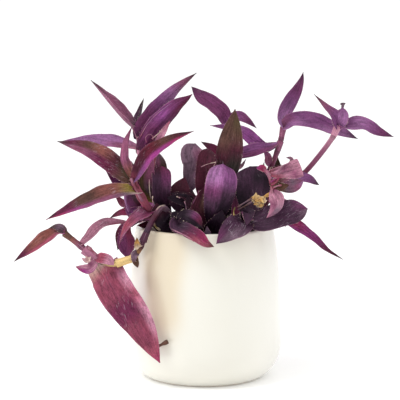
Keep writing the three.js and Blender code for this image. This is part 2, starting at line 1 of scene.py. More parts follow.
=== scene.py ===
"""A purple tradescantia in a round cream ceramic pot, on a pale studio floor.

Metres, +Z up, the front of the plant faces -Y, and the origin is the centre of the pot's foot. The
plant's stems and leaves are laid out in millimetres as they are seen from the front, and each shoot
becomes one mesh with its own veins, margins, hairs and colours.
"""
import math
import random

import bpy
import numpy as np
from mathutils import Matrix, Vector


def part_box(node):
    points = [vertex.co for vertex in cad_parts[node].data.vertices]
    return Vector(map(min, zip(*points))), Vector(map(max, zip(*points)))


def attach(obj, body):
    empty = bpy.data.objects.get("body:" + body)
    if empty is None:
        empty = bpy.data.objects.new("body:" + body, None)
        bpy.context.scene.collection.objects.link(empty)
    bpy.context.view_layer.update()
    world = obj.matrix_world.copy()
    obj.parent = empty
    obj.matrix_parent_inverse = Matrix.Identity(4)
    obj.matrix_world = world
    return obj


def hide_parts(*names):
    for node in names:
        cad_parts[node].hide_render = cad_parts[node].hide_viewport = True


bl_info = {
    "name": "Potted Tradescantia",
    "version": (1, 0, 0),
    "blender": (4, 5, 0),
    "location": "View3D > Sidebar > Plant",
    "description": "Makes a purple tradescantia in a round ceramic pot, with a pale studio round it",
    "category": "Add Mesh",
}

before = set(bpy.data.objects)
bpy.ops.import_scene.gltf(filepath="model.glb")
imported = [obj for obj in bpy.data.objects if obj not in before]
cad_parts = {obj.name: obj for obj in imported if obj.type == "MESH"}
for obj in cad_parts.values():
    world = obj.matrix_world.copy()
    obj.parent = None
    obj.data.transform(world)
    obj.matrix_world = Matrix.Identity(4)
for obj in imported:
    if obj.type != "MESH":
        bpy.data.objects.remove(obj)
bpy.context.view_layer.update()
POT_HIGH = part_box("pot")[1]
MM = 0.001

# The plant is laid out from the front. A point is (x, depth, z) in millimetres: x and z are where it
# is seen, from the eye, on the upright plane through the pot's axis, and depth is how far behind that
# plane it lies.
EYE = np.array([-4.0, -1192.0, 290.0])

# The camera looks at this point from this far away, this many degrees above the horizon
AIM = (-0.0038, 0, 0.1486)
CAMERA_DISTANCE = 1.2
CAMERA_RISE = 6.75
LENS = 128.57
SENSOR = 36

# The lamps: name, setting with its power, size, place, and whether shiny surfaces mirror it
LAMPS = (
    ("key_light", "key", 0.6, (-0.7, -0.45, 1.3), True),
    ("side_light", "side", 0.3, (-1.4, 0.14, 0.17), False),
)
LAMP_AIM = (0, 0, 0.12)
FLOOR_RADIUS = 6
FLOOR_SIDES = 96

# Leaves
LEAF_ROWS = 34
SMALL_LEAF_ROWS = 20
SMALL_LEAF = 10  # a leaf narrower than this, in millimetres, has the fewer rows
LEAF_STRIPS = 14
TIP_DETAIL = 1.4  # above 1 the rows stand closer together towards the tip
LEAF_BOW = 1.25  # 1 gives a leaf two flat halves, and more rounds them
CLASP_ANGLE = 60  # degrees that each half rises by where the leaf's base wraps the stem
CLASP_LENGTH = 0.2  # share of the leaf's length in which that wrap opens
LEAF_TIP = 0.04  # width left at the tip, as a share of the leaf's width
MARGIN_BODY = 0.25  # thickness at the margins, as a share of that beside the rib
TIP_THINNING = 0.5  # share of its thickness that a leaf has lost at its tip
KEEL_HEIGHT = 0.45  # how far the rib stands out below, as a share of the thickness
KEEL_WIDTH = 0.14  # half width of the rib, as a share of half the leaf
SEAM_WIDTH = 0.12  # how softly the colours of the two halves meet
# Half width of a leaf's painted highlight, as a share of half the leaf
PAINTED_HIGHLIGHT_WIDTH = 0.22
SHADE_DRIFT = 0.05  # how much lighter or darker than its neighbours a leaf may be
WAVE_LENGTH = 0.022  # metres from wave to wave along a margin
SLOW_WAVE, QUICK_WAVE = 6.28, 10.7  # radians in one such length
QUICK_SHARE = 0.6  # height of the quick wave, as a share of the slow one's

# Hairs on the margins of a leaf
HAIR_SPAN = (0.02, 0.9)  # where they stand, as shares of the leaf's length
HAIR_CROWDING = 1.5  # above 1 they stand closer together towards the base
HAIR_LEAN = (-0.2, 0.7)  # how far they lean towards the tip
HAIR_LIFT = (-0.4, 0.6)  # how far they rise off the leaf
HAIR_RADIUS = 0.05  # as a share of the longest hair
HAIR_LENGTHS = (0.5, 1)  # as shares of the longest hair
HAIR_BEND = 0.3  # how far the tip turns on towards the tip of the leaf
HAIR_SIDES, HAIR_STEPS = 3, 2

# Stems, the sheaths and spurs on them, and the dried flower's stalk
STEM_RING = 0.0012  # metres from one ring of a stem to the next
NODE_SWELL = 0.16  # how much thicker a stem is at a joint, as a share
NODE_SHADE = 0.35  # how much darker it is there
NODE_LENGTH = 0.0022
STEM_SIDES = 20
SHEATH_STEPS = 8
SHEATH_SHADE = 1.15  # how much lighter than its stem a sheath is
SHEATH_FOOT = 0.8  # its width where it starts, as a share of that at its mouth
SPUR_SIDES, SPUR_STEPS = 8, 10
SPUR_SWELL, SPUR_WAVES = 0.3, 9  # height of its swellings as a share, and radians of them
STALK_SIDES, STALK_STEPS = 10, 12
STALK_SWELL, STALK_WAVES = 0.2, 7

# How scratched, how blotched and how dry each is
STEM_WEAR = (0.3, 0.3, 0)
SHEATH_WEAR = (0.4, 0.3, 0)
SPUR_WEAR = (0.2, 0.3, 0.2)
STALK_WEAR = (0, 0.4, 0.3)
HAIR_WEAR = (0, 0, 0)

# How finely a soft curve is sampled between two of its points
CURVE_STEPS = 30
STEM_STEPS = 60
START_SIDE = (0.3, 0.2, 0.93)  # the first side of a rod is square to this

# The pot and the soil
POT_SIDES = 128
BASE_STEPS = 19
WALL_STEPS = 16
BASE_START = 0.02  # radians round the base's curve at which it starts, just off the foot
RIM_STEPS = 10
RECESS = 0.0009  # height of the hollow inside the foot ring
FOOT_RING = (0.006, 0.001)  # how far inside the foot's radius the ring begins and ends
FOOT_BEVEL = 0.0015
FLOOR_BEVEL = ((0.0015, 0.0012), (0.004, 0))  # distances from the wall and above the floor
SOIL_SIDES = 112
SOIL_RINGS = 44
SOIL_GAP = 0.00035  # between the soil and the pot
SOIL_SHARES = (0.985, 0.03)  # first and last ring of its surface, as shares of its radius
SOIL_CORNER = (0.006, 0.002)  # how far in and how far up the corner at its bottom is cut
SOIL_SEED = 11
SOIL_ROUGHNESS = 0.35  # as a share of the height of its hills
LEVEL_SLACK = 1e-5  # how far below its level a point still counts as on the surface

# Crumbs of soil
CRUMB_REACH = 0.97  # how far out they lie, as a share of the surface's radius
CRUMB_SHARES = (0.25, 1)  # their size, as shares of the largest
CRUMB_RARITY = 1.6  # above 1 the large ones are rarer
CRUMB_STRETCHES = ((0.6, 1.7), (0.6, 1.1), (0.5, 0.9))
CRUMB_ROUGHNESS = (0.8, 1.2)  # how far its corners lie from its middle
CRUMB_RISE = 0.15  # how far its middle lies above the surface, as a share of its size
SMOOTH_ANGLE = math.radians(50)  # edges that turn by less are shaded smooth

# The finishes of a shoot, in the order of its material slots
LEAF, STEM, DRY = range(3)
WITHERED = 0.9  # a leaf drier than this has the dry finish
SEED_STEP = 100  # how far apart the draws of one seed setting and the next start


def linear(code):
    """The linear colour of a six-digit colour code."""
    parts = (int(code[i : i + 2], 16) / 255 for i in (0, 2, 4))
    return tuple(c / 12.92 if c <= 0.04045 else ((c + 0.055) / 1.055) ** 2.4 for c in parts)


# The plant's tints by name, as a label and a colour
TINTS = {
    "plum": ("Plum", "70365f"),
    "violet": ("Violet", "7c4777"),
    "pansy": ("Pansy", "8c4a88"),
    "lilac": ("Lilac", "9a6696"),
    "orchid": ("Pale orchid streak", "b98abf"),
    "mauve": ("Dusty mauve", "8a4e6b"),
    "rose": ("Rose", "9a4a5e"),
    "brick": ("Brick", "803b50"),
    "blush": ("Blush", "bb8096"),
    "magenta": ("Magenta", "933a7c"),
    "crimson": ("Crimson", "962e58"),
    "wine": ("Wine", "672545"),
    "maroon": ("Maroon", "4c1d2e"),
    "oxblood": ("Oxblood", "641f30"),
    "umber": ("Umber", "5c3f38"),
    "bronze": ("Bronze", "86504a"),
    "olive": ("Olive", "4f3f2c"),
    "moss": ("Yellow green", "8f7c3e"),
    "slate": ("Grey mauve", "745a6b"),
    "steel": ("Blue grey bloom", "5c4a70"),
    "dusk": ("Dusk", "45293f"),
    # Near-black: partly the darkest leaves' own colour, partly painted shade on leaves and stems deep
    # inside the plant
    "ink": ("Ink", "20101f"),
    "soot": ("Dry tip", "3a3230"),
    "straw": ("Straw", "d6b77c"),
    "tan": ("Tan", "bf8f50"),
    "bark": ("Dry brown", "54392c"),
    "cream": ("Cream", "e3cfba"),
}


def leaf(node, path, width, face, tint, **traits):
    """One leaf. It grows from the stem at `node`, which counts along the stem's points, and runs
    through `path` to its tip. `face` is the way that its upper side looks. `tint` names its colours
    from base to tip, `right` those of its right half if they differ, and `under` those below, where
    `left_under` are those of the half that lies on the left as the underside is looked at."""
    habit = {
        "fold": 20,  # degrees that each half rises by
        "belly": 0.4,  # where the leaf is widest
        "blunt": 1.7,  # how full it stays towards the tip
        "root": 0.6,  # width at the base, as a share
        "flare": 1,  # how late it widens from there
        "clasp": 0.8,  # how far its base wraps the stem
        "crease": 0,  # where the fold lies across it, from -1 to 1
        "ripple": 0.35,  # height of the waves along its margins, in millimetres
        "right": tint,
        "under": "magenta plum wine",
        "stripe": (0, 0),  # where a painted highlight runs along it as a paler stripe, and how much paler
        "scuff": 0.15,  # pale scratches
        "mottle": 0.4,  # warm blotches
        "dry": 0,
    }
    given = {"node": node, "path": path, "width": width, "face": face, "tint": tint, **traits}
    given.setdefault("left_under", given.get("under", habit["under"]))
    return {**habit, **given}


def shoot(slot, tint, radius, stem, leaves, sheaths=(), spurs=()):
    """One stem and what it carries: sheaths (node, length, radius) and spurs (path, radius, tint)."""
    return {
        "slot": slot,
        "tint": tint,
        "radius": radius,
        "stem": stem,
        "leaves": leaves,
        "sheaths": sheaths,
        "spurs": spurs,
    }


# Every shoot, by the node that it stands for
SHOOTS = {
    "left_tall_shoot": shoot(
        "purple_leaf", "wine rose mauve blush blush", 2.2,
        [(-20, 6, 102), (-33, 8, 134), (-45, 10, 162), (-53, 10, 185), (-54.6, 10, 199),
         (-57.3, 10, 210.5)],
        [
            leaf(3.4, [(-63, 11, 194.8), (-78, 13, 197.7), (-97, 16, 198.4), (-122, 18, 197.3)], 13.5,
                 (0, -0.8, 0.6), "blush mauve lilac lilac violet", right="blush lilac lilac lilac plum",
                 fold=15, root=0.35, flare=1.3, clasp=0.3, mottle=0.1),
            leaf(4.7, [(-65.9, 8, 214.7), (-77.8, 6, 228.1), (-94.6, 4, 249)], 22, (0.7, -0.3, 0.7),
                 "slate mauve mauve soot", under="slate mauve mauve mauve mauve soot",
                 left_under="slate slate mauve wine mauve soot", fold=34, blunt=1.3, scuff=0.5, mottle=0.6,
                 root=0.3, flare=0.8),
            leaf(5, [(-53.2, 14, 221), (-50.6, 16, 234)], 12, (-1, -0.5, 0), "dusk dusk soot",
                 under="dusk dusk soot", fold=35, blunt=1.2),
            leaf(4, [(-52.5, 5, 209), (-43, 10, 220.3), (-32.9, 15, 231.4), (-21, 19, 243.4),
                     (-6.7, 22, 255)], 16.5, (-0.35, 0.85, 0.35), "plum violet plum wine",
                 under="dusk plum violet violet lilac mauve soot",
                 left_under="dusk plum plum violet lilac mauve soot", blunt=1.6, clasp=0.4),
            leaf(3, [(-46.5, 2, 198.5), (-40.6, -1, 208), (-32.7, -5, 217), (-23.2, -6, 226.8),
                     (-14.5, -6, 233.4), (-10.2, -6, 237.4)], 20.5, (-0.35, 0.85, 0.35),
                 "plum violet plum wine", under="maroon wine plum plum wine wine",
                 left_under="maroon plum plum pansy plum wine", fold=22, blunt=2.35, stripe=(0.5, 0.35)),
        ],
        sheaths=[(3.3, 8, 3.1), (5, 5, 2.7)],
        spurs=[
            # A thin pale rod along the edge of the long leaf: a painted rim highlight
            ([(-54.3, 1, 200.5), (-52.2, -1, 204.5), (-49, -4, 210.2), (-45, -6, 215.6), (-39.8, -8, 221),
              (-34, -8, 225.3), (-27.5, -9, 230)], 0.3, "rose blush lilac blush lilac violet"),
            ([(-48.5, -9, 197), (-49.3, -9, 201), (-46.5, -9, 204), (-43.5, -9, 202.5), (-43, -9, 199)],
             0.22, "rose blush blush rose"),
            ([(-44, -9, 200), (-38, -11, 205), (-33, -12, 209.5)], 0.35, "blush cream rose"),
            ([(-60.8, -2, 210.4), (-58.2, 0, 204.5), (-55.8, 2, 199)], 0.45, "mauve blush mauve"),
        ],
    ),
    "left_front_shoot": shoot(
        "purple_leaf", "maroon wine rose rose", 3.3,
        [(-27, -16, 102), (-37, -20, 128), (-46.5, -24, 140), (-53, -26, 151), (-60, -26, 163)],
        [
            leaf(4, [(-55, -32, 170.8), (-48, -36, 182.6), (-40.7, -38, 189.9), (-26, -38, 199.5),
                     (-9, -36, 206.6)], 17.5, (-0.3, -0.8, 0.5),
                 "rose maroon maroon oxblood umber maroon soot",
                 right="steel violet magenta magenta crimson wine", fold=30, blunt=1.4, root=0.4,
                 scuff=0.4),
            leaf(3.9, [(-80, -24, 181.2), (-98, -22, 191.5), (-123, -20, 198)], 18, (-0.1, -0.85, 0.5),
                 "umber umber wine wine mauve mauve soot",
                 right="olive olive maroon bronze umber wine soot", fold=14, scuff=0.9, mottle=0.8,
                 root=0.45),
            leaf(4, [(-69.3, -28, 180), (-69.6, -28, 191), (-67, -27, 200), (-60.5, -26, 210.3)], 14.6,
                 (0.8, 0.5, 0), "mauve rose mauve", under="olive bronze mauve mauve mauve wine", fold=48,
                 stripe=(-0.2, 0.4)),
            leaf(3.3, [(-64, -33, 154.6), (-76, -37, 153.2), (-90, -39, 148.7), (-111.7, -41, 140.3),
                       (-133.3, -42, 131.9)], 21, (0.1, -0.6, 0.8),
                 "cream slate mauve mauve magenta crimson crimson",
                 right="moss moss bronze bronze umber umber wine wine soot", fold=30, blunt=1.6, root=0.55,
                 clasp=0.4, scuff=0.9, mottle=0.6),
            leaf(3.7, [(-73.6, -14, 180), (-81.3, -12, 192)], 14, (0.6, -0.8, 0.3),
                 "maroon oxblood maroon"),
            leaf(3.9, [(-61, -16, 171), (-61.5, -15, 181.5)], 9, (0, -1, 0.1), "maroon oxblood maroon",
                 blunt=3),
            leaf(3.6, [(-72, -15, 166.5), (-82.5, -12, 173)], 18, (0, -0.9, 0.5), "wine dusk plum wine",
                 fold=15),
            leaf(2, [(-55, -18, 141), (-60, -16, 148), (-62, -14, 157)], 22, (-0.6, -0.8, 0.2),
                 "lilac violet plum dusk", right="plum maroon ink", fold=15),
            leaf(1.7, [(-67, -8, 137.7), (-80, -6, 133.2)], 14, (0, -0.6, 0.8),
                 "maroon oxblood crimson soot", root=0.9),
            leaf(2.3, [(-67.3, -5, 144.5), (-76, -3, 154.5)], 13, (0.6, -0.8, 0.3), "plum mauve rose"),
            leaf(1.8, [(-51, -34, 137), (-58, -40, 133.2), (-65, -44, 126), (-69.5, -45, 118),
                       (-72, -45, 110)], 13, (-0.4, -0.9, 0.3), "wine wine mauve rose mauve wine",
                 right="wine mauve mauve rose rose mauve", fold=18, belly=0.25, blunt=1.1, root=0.85,
                 scuff=1.2, mottle=0.5),
            leaf(1.2, [(-53, -24, 131), (-63, -29, 128.3), (-66.3, -33, 120.5), (-64.9, -34, 112),
                       (-65.4, -34, 106), (-65, -34, 98.8)], 18.5, (-0.5, -0.8, 0.3),
                 "maroon maroon oxblood wine plum", right="maroon wine plum plum", fold=12, blunt=1.4,
                 belly=0.8, root=0.03, flare=5.5),
            leaf(1.5, [(-60, -14, 129.5), (-68, -20, 123.5), (-73.3, -25, 105.8)], 10.5, (-0.4, -0.9, 0.2),
                 "rose mauve mauve wine soot", fold=15, belly=0.7, scuff=0.5, root=0.15, flare=3),
            leaf(1.3, [(-47, -15, 127.5), (-57, -21, 127)], 8, (0, -0.9, 0.4), "maroon maroon oxblood"),
        ],
        spurs=[
            ([(-61.5, -30.5, 167), (-58.5, -30, 158.5), (-52, -28.5, 147.5)], 1.1,
             "blush rose blush mauve"),
            ([(-58.2, -29.5, 165), (-54.8, -28, 156), (-49.5, -27, 145)], 0.8, "rose oxblood rose wine"),
            ([(-66.3, -22, 153), (-65.8, -23, 146), (-62.8, -24, 139)], 1.2, "lilac lilac violet"),
            ([(-46.3, -20, 166), (-46.3, -20, 158), (-45, -20, 150)], 0.45, "blush cream slate"),
            # A thin pale line among the leaves: a painted glint
            ([(-43.5, -30, 152), (-43.8, -30, 149), (-43, -30, 146)], 0.35, "cream blush"),
        ],
    ),
    "left_inner_shoot": shoot(
        "purple_leaf", "ink maroon wine rose mauve", 2.4,
        [(-14, -6, 102), (-28, -8, 134), (-43, -8, 150), (-44.5, -8, 168), (-43, -9, 184), (-40, -9, 196)],
        [
            leaf(2, [(-49.5, -13, 158), (-49.5, -16, 172), (-43, -18, 189)], 20, (0.2, -1, 0.1),
                 "moss olive olive umber maroon", right="slate slate mauve mauve mauve", fold=28),
            leaf(1.2, [(-36.2, -15, 150), (-36, -18, 164), (-36.3, -13, 177.3)], 16.5, (0.1, -1, 0.1),
                 "ink ink dusk dusk maroon", right="ink dusk dusk plum wine", fold=15, blunt=4.5,
                 belly=0.7, root=0.5),
            leaf(3, [(-38.8, 1, 172), (-37.3, 1, 180), (-39.4, 2, 189.5)], 14, (0.3, -0.9, 0),
                 "slate slate mauve slate", right="slate olive slate", fold=25, blunt=1.6),
            leaf(0.4, [(-17.8, -10, 136), (-20.4, -12, 148.5), (-20, -13, 157), (-16.5, -13, 168)], 20,
                 (0, -1, 0.1), "ink ink dusk dusk maroon maroon", fold=8, blunt=1.6, mottle=0.1,
                 belly=0.72, root=0.05, flare=3.6),
            leaf(5, [(-35.6, -11, 203.5), (-28.5, -14, 215.5)], 6, (-0.2, -0.9, 0.3), "mauve blush rose"),
        ],
    ),
    "trailing_shoot": shoot(
        "red_leaf", "ink ink slate maroon dusk maroon tan straw straw maroon blush mauve bronze umber",
        2.4,
        [(-20, -14, 102), (-26, -20, 130), (-34.5, -30, 142), (-42.3, -41, 134), (-49, -47, 120.5),
         (-54, -48, 109), (-59.5, -49, 101), (-68, -50, 97), (-77, -49, 94.3), (-87, -44, 96.5),
         (-95, -40, 101.7), (-104.2, -38, 109.2), (-111.4, -37, 115.1), (-117.5, -37, 119.8)],
        [
            leaf(11, [(-95.8, -37, 116.6), (-88.3, -35, 124.2), (-78.5, -34, 128.4), (-60.5, -35, 129.4)],
                 15, (-0.3, -0.5, 0.8), "blush blush blush blush rose",
                 right="blush blush blush rose rose", under="blush blush blush blush rose", fold=30,
                 root=0.4, blunt=1.4, scuff=1.1),
            leaf(13, [(-124.5, -37, 120.3), (-137.2, -37, 111.8), (-149.7, -36, 103.2), (-161, -35, 96.2)],
                 16, (0.1, -0.6, 0.8), "blush rose rose rose wine soot",
                 right="mauve bronze bronze bronze wine soot", fold=30, blunt=1.5, mottle=1, scuff=0.6),
            leaf(12.8, [(-123.3, -36, 124.8), (-131, -35, 124.8)], 8, (0, -0.7, 0.7), "soot slate soot",
                 fold=30, dry=0.8, ripple=0.9),
            leaf(9.2, [(-88.7, -43, 93), (-85, -46, 87.5), (-79.6, -54, 76.3), (-72.7, -60, 65),
                       (-63.2, -62, 52), (-54.9, -64, 39.5), (-38, -65, 9)], 33.6, (0.2, 0.9, -0.2),
                 "rose magenta rose",
                 under="cream rose brick brick brick wine wine brick brick brick rose crimson",
                 left_under="blush mauve blush rose blush blush rose crimson", fold=17, crease=0.62,
                 belly=0.12, blunt=3.3, root=0.75, clasp=0.1, scuff=0.5, mottle=0.5, stripe=(0.95, 0.3)),
            leaf(9.4, [(-96.5, -46, 90.5), (-102, -48, 90), (-109, -49, 92)], 9, (0, -1, 0.3),
                 "blush blush magenta rose", right="blush mauve blush blush", fold=25, belly=0.55,
                 scuff=0.7, ripple=0.6),
            leaf(10.2, [(-99, -45, 97), (-104, -46, 99.5)], 5, (-0.3, -0.9, 0.3), "cream blush"),
            leaf(9.6, [(-86, -50, 98.8), (-81, -54, 97.3), (-76.5, -55, 93.2)], 9.5, (0.1, -0.9, 0.3),
                 "mauve rose rose blush blush", fold=18, belly=0.5, blunt=3.4, root=0.5, ripple=0.3),
            leaf(5.1, [(-56.5, -54, 110), (-57, -54, 117)], 6, (0, -1, 0), "tan cream tan bark", dry=0.5),
            leaf(5.5, [(-59.3, -56, 101), (-59.3, -56, 94.5)], 6.5, (0, -1, 0), "dusk slate slate bark"),
            leaf(6, [(-58.3, -55, 97), (-56.2, -56, 91)], 6.5, (0, -1, 0), "umber umber bark umber",
                 fold=35, dry=0.5, ripple=1.3, blunt=3),
            leaf(1, [(-33, -31, 129), (-38.5, -28, 136), (-40.5, -26, 146)], 19, (0.1, -1, 0.1),
                 "ink ink maroon", fold=12, blunt=2.2),
        ],
        sheaths=[(4.5, 8, 3.3), (7.6, 18, 3.6), (10.6, 15, 4.5), (13, 7, 3)],
        spurs=[
            ([(-43.5, -60.5, 21.5), (-37, -62, 24.5), (-31, -62, 27.5)], 1.6, "mauve bark umber bark"),
            ([(-43.2, -40.5, 130), (-41, -37, 125.8), (-37.8, -34, 123.2)], 0.9, "slate moss cream"),
            ([(-41, -44, 139.5), (-37.5, -42, 143.2), (-33, -38, 144)], 0.5, "mauve cream slate"),
            ([(-98, -42, 108.5), (-94.5, -42, 105.5), (-91.5, -42, 101.5)], 1.2, "blush rose blush"),
        ],
    ),
    "front_rim_shoot": shoot(
        "red_leaf", "ink ink dusk", 2.2,
        [(-4, -38, 103), (-14, -43, 122), (-23, -45, 131)],
        [
            leaf(1.9, [(-23.5, -55, 126), (-15.5, -60, 122.2), (-6, -65, 116.7), (1, -68, 111.3),
                       (8, -69, 108.8)], 13.5, (0.3, -0.9, 0.5), "ink ink dusk wine crimson bark",
                 right="ink dusk dusk wine rose rose bark", belly=0.3, blunt=4, root=0.8, clasp=0.2,
                 scuff=0.6),
            leaf(1.9, [(-24, -42, 134.5), (-23.3, -40, 139.3)], 9, (0, -1, 0.1), "ink ink", blunt=4,
                 mottle=0.1),
            # One half of this leaf lighter and the other near-black: painted light and painted shade
            leaf(1.9, [(-16.5, -46, 134.3), (-9, -49, 132.2), (-2, -51, 125)], 13, (0, -0.8, 0.6),
                 "ink ink ink dusk plum wine maroon ink", right="ink ink ink ink", fold=12, blunt=2.6,
                 root=0.4),
        ],
        spurs=[
            ([(-28.5, -60, 124.3), (-22, -64, 121.2), (-14.8, -68, 117.6), (-9, -71, 113.6)], 0.45,
             "dusk blush blush rose"),
            ([(-17, -40, 147.5), (-16, -41, 144.5), (-15.4, -43, 140.5)], 0.3, "blush slate plum"),
            ([(-4.5, -33, 157), (-7, -34, 151), (-9.8, -35, 145.5)], 0.3, "mauve mauve plum"),
            ([(-23.5, -26, 151.7), (-20.5, -26, 150.2)], 0.4, "cream blush"),
        ],
    ),
    "center_front_shoot": shoot(
        "purple_leaf", "ink ink ink", 2.4,
        [(4, -22, 102), (5, -26, 122), (6, -28, 134)],
        [
            # Its underside near-black towards the base and paler up its middle: painted shade and a
            # painted highlight
            leaf(1, [(9.3, -42, 139), (12.6, -43, 153), (14.8, -38, 166), (15.7, -30, 176),
                     (15.5, -21, 179)], 26.4, (-0.1, 0.9, -0.3), "plum violet lilac",
                 under="ink ink ink ink dusk violet violet violet",
                 left_under="ink ink ink dusk plum lilac lilac lilac", fold=12, belly=0.64, blunt=3,
                 root=0.2, flare=1.2, mottle=0.1, stripe=(0.1, 0.5)),
            # A near-black leaf that fills a shaded gap: painted shade
            leaf(1.6, [(14, -30, 137), (18, -27, 153)], 21, (0, -1, 0.1), "ink ink ink", fold=12,
                 blunt=2.4, mottle=0.1),
            leaf(1.3, [(-3.8, -30, 138), (-2.8, -31, 149), (0.2, -31, 160)], 15, (0, -1, 0.2),
                 "ink maroon maroon maroon", right="ink maroon umber maroon", fold=14, blunt=2,
                 mottle=0.1),
            leaf(1, [(-5, -24, 141), (-12, -24, 146), (-14.2, -24, 153)], 13, (0, -1, 0.2),
                 "ink maroon ink", fold=10, blunt=2.6),
            # A near-black leaf that fills a shaded gap: painted shade
            leaf(0.7, [(11, -40, 128), (15, -44, 140)], 17, (0, -1, 0.2), "ink ink", fold=10, blunt=2.4,
                 mottle=0.1),
            leaf(0.6, [(3, -43, 118), (2, -45, 126.6)], 6, (0, -1, 0.2), "steel steel slate", belly=0.8,
                 blunt=1, root=0.3),
        ],
    ),
    "center_back_shoot": shoot(
        "purple_leaf", "ink ink maroon wine", 2.4,
        [(8, -4, 102), (10, -4, 135), (14, -4, 160), (18, -3, 178)],
        [
            leaf(2, [(19.4, -12, 180), (22.5, -13, 202), (25.5, -8, 225)], 22.5, (0, -1, 0.1),
                 "ink soot maroon umber umber umber", right="ink soot soot maroon umber olive umber",
                 fold=10, belly=0.45, blunt=1.9, mottle=0.2, scuff=0.3),
            leaf(1.3, [(0.8, -14, 156), (1, -15, 173), (2.8, -11, 186), (5, -4, 191.3)], 17, (0, -1, 0.2),
                 "ink maroon maroon maroon", fold=12, belly=0.7, blunt=3, mottle=0.2),
            leaf(3, [(8.5, 3, 189.5), (-3, 5, 197.8)], 11, (0.1, -0.8, 0.6), "oxblood oxblood wine soot",
                 fold=25),
            leaf(1.1, [(-9, 1, 146), (-14.3, 0, 156), (-9.8, -2, 168), (-6.4, -2, 180), (-9.6, -1, 189.5),
                       (-7.8, 3, 196.2)], 25, (0, -1, 0.2), "ink ink dusk slate slate slate",
                 right="ink ink dusk slate mauve slate", fold=14, belly=0.82, blunt=2.4, root=0.1,
                 flare=4.5, mottle=0.2, scuff=0.2, stripe=(0.1, 0.3)),
            leaf(0.9, [(-8, 4, 150), (-13, 4, 163), (-15.2, 4, 184)], 5, (-0.4, -0.9, 0),
                 "ink slate olive slate"),
            # The next three near-black leaves fill shaded hollows low in the plant: painted shade
            leaf(0.9, [(-6, -16, 144), (-17, -19, 151.5), (-29, -20, 154)], 13, (0, -0.7, 0.7),
                 "ink maroon ink", blunt=2.2, mottle=0.1),
            leaf(0.8, [(-6, -15, 142), (-16, -20, 148), (-32, -23, 150.5)], 12, (0, -0.9, 0.4),
                 "ink ink ink", fold=10, blunt=4, mottle=0.1),
            leaf(0.6, [(-5, -10, 128), (-12, -12, 139), (-17.5, -13, 151)], 17, (0, -1, 0.2),
                 "ink ink ink", fold=10, blunt=3, mottle=0.1),
            leaf(1, [(24, -8, 140), (27, -9, 154), (28, -9, 170)], 13, (0, -1, 0.2), "ink ink ink",
                 fold=10, blunt=3, mottle=0.1),
            leaf(3, [(29.5, 0, 176), (35, 2, 183.5)], 4, (-0.5, -0.8, 0.3), "blush slate"),
        ],
        spurs=[
            ([(-3, -24, 176.5), (3, -25, 179), (9.5, -24, 180.5)], 0.25, "blush cream"),
            ([(7, -24, 175.5), (8.5, -24, 178.5), (9.5, -23, 181)], 0.25, "cream blush"),
        ],
    ),
    "upper_center_shoot": shoot(
        "purple_leaf", "ink maroon wine blush blush", 2,
        [(14, 18, 102), (18, 18, 140), (21, 16, 175), (20, 15, 200), (19, 14, 210)],
        [
            leaf(4, [(14.7, 12, 220.9), (6, 10, 228.9), (-4, 8, 235.3), (-10.9, 6, 243.6)], 16.4,
                 (0.3, -0.8, 0.5), "violet plum plum plum plum dusk", fold=15, blunt=3, mottle=0.3,
                 scuff=0.3),
            leaf(4, [(27, 14, 217.7), (34.6, 13, 215.4), (43.5, 12, 208.9)], 13, (0, -0.7, 0.7),
                 "slate violet plum dusk", fold=22, clasp=0.3, belly=0.2, root=0.9),
        ],
    ),
    "right_tall_shoot": shoot(
        "purple_leaf", "ink maroon plum wine mauve mauve mauve", 2.2,
        [(26, 14, 102), (38, 13, 140), (49, 12, 163), (55.8, 11, 177), (60.8, 10, 189.5), (64, 10, 200),
         (65.7, 10, 209)],
        [
            leaf(4.5, [(52, 11, 192.2), (46.5, 10, 194), (41.5, 9, 197.9), (33.5, 8, 204.6), (22, 5, 209),
                       (4.5, 3, 211.2)], 12, (-0.2, -0.8, 0.5),
                 "slate violet pansy pansy violet violet plum",
                 right="slate violet pansy pansy lilac violet plum", fold=18, root=0.5, mottle=0.1),
            leaf(4.7, [(56, 5, 193.8), (50, 2, 192.3), (40, 1, 189.6), (31, 2, 187.2), (21, 3, 185.2)],
                 13.5, (-0.1, -0.8, 0.6), "mauve plum plum plum wine", right="lilac violet violet plum",
                 fold=18, mottle=0.1, blunt=2.4, root=0.2, flare=1.6, belly=0.6),
            leaf(6, [(64.2, 9, 219.6), (69.3, 8, 230.5), (75.2, 8, 240.2), (79.8, 8, 248.5),
                     (82, 9, 255.6)], 15.8, (0.5, -0.8, 0.1), "orchid lilac violet plum dusk", fold=25,
                 blunt=1.8, mottle=0.2, scuff=0.3),
            leaf(6, [(74, 7, 215.2), (88, 5, 215), (105, 5, 209.2), (128, 7, 200.1)], 17, (0.1, -0.8, 0.6),
                 "mauve violet violet violet lilac soot", right="lilac lilac violet lilac lilac soot",
                 fold=18, blunt=2.2, mottle=0.3, scuff=0.3),
            leaf(2, [(59.2, 18, 172), (61, 18, 186)], 10.8, (0, -1, 0.2), "ink ink olive", mottle=0.1),
            leaf(3, [(53.6, 8, 181), (52.8, 5, 185.5), (49.8, 3, 190)], 7, (0, -0.9, 0.3),
                 "plum mauve mauve violet", blunt=3, root=0.5),
            leaf(2, [(48.5, 18, 172), (50, 18, 181)], 4, (0, -1, 0.2), "ink slate"),
        ],
        sheaths=[(4.7, 8, 3), (6, 8, 3)],
    ),
    "flowering_shoot": shoot(
        "purple_leaf", "ink ink maroon maroon maroon wine mauve blush blush", 2.2,
        [(34, -4, 102), (44, -5, 134), (56, -6, 151), (68, -7, 163), (77, -8, 168.5), (84.4, -8, 172.3),
         (98.5, -8, 189.2), (107.6, -8, 202.2), (111.2, -8, 210.3)],
        [
            leaf(8, [(121, -8, 210.1), (132, -8, 210), (145.5, -8, 204.2), (158, -8, 201.7)], 19,
                 (0.1, -0.6, 0.8), "violet violet lilac violet plum dusk",
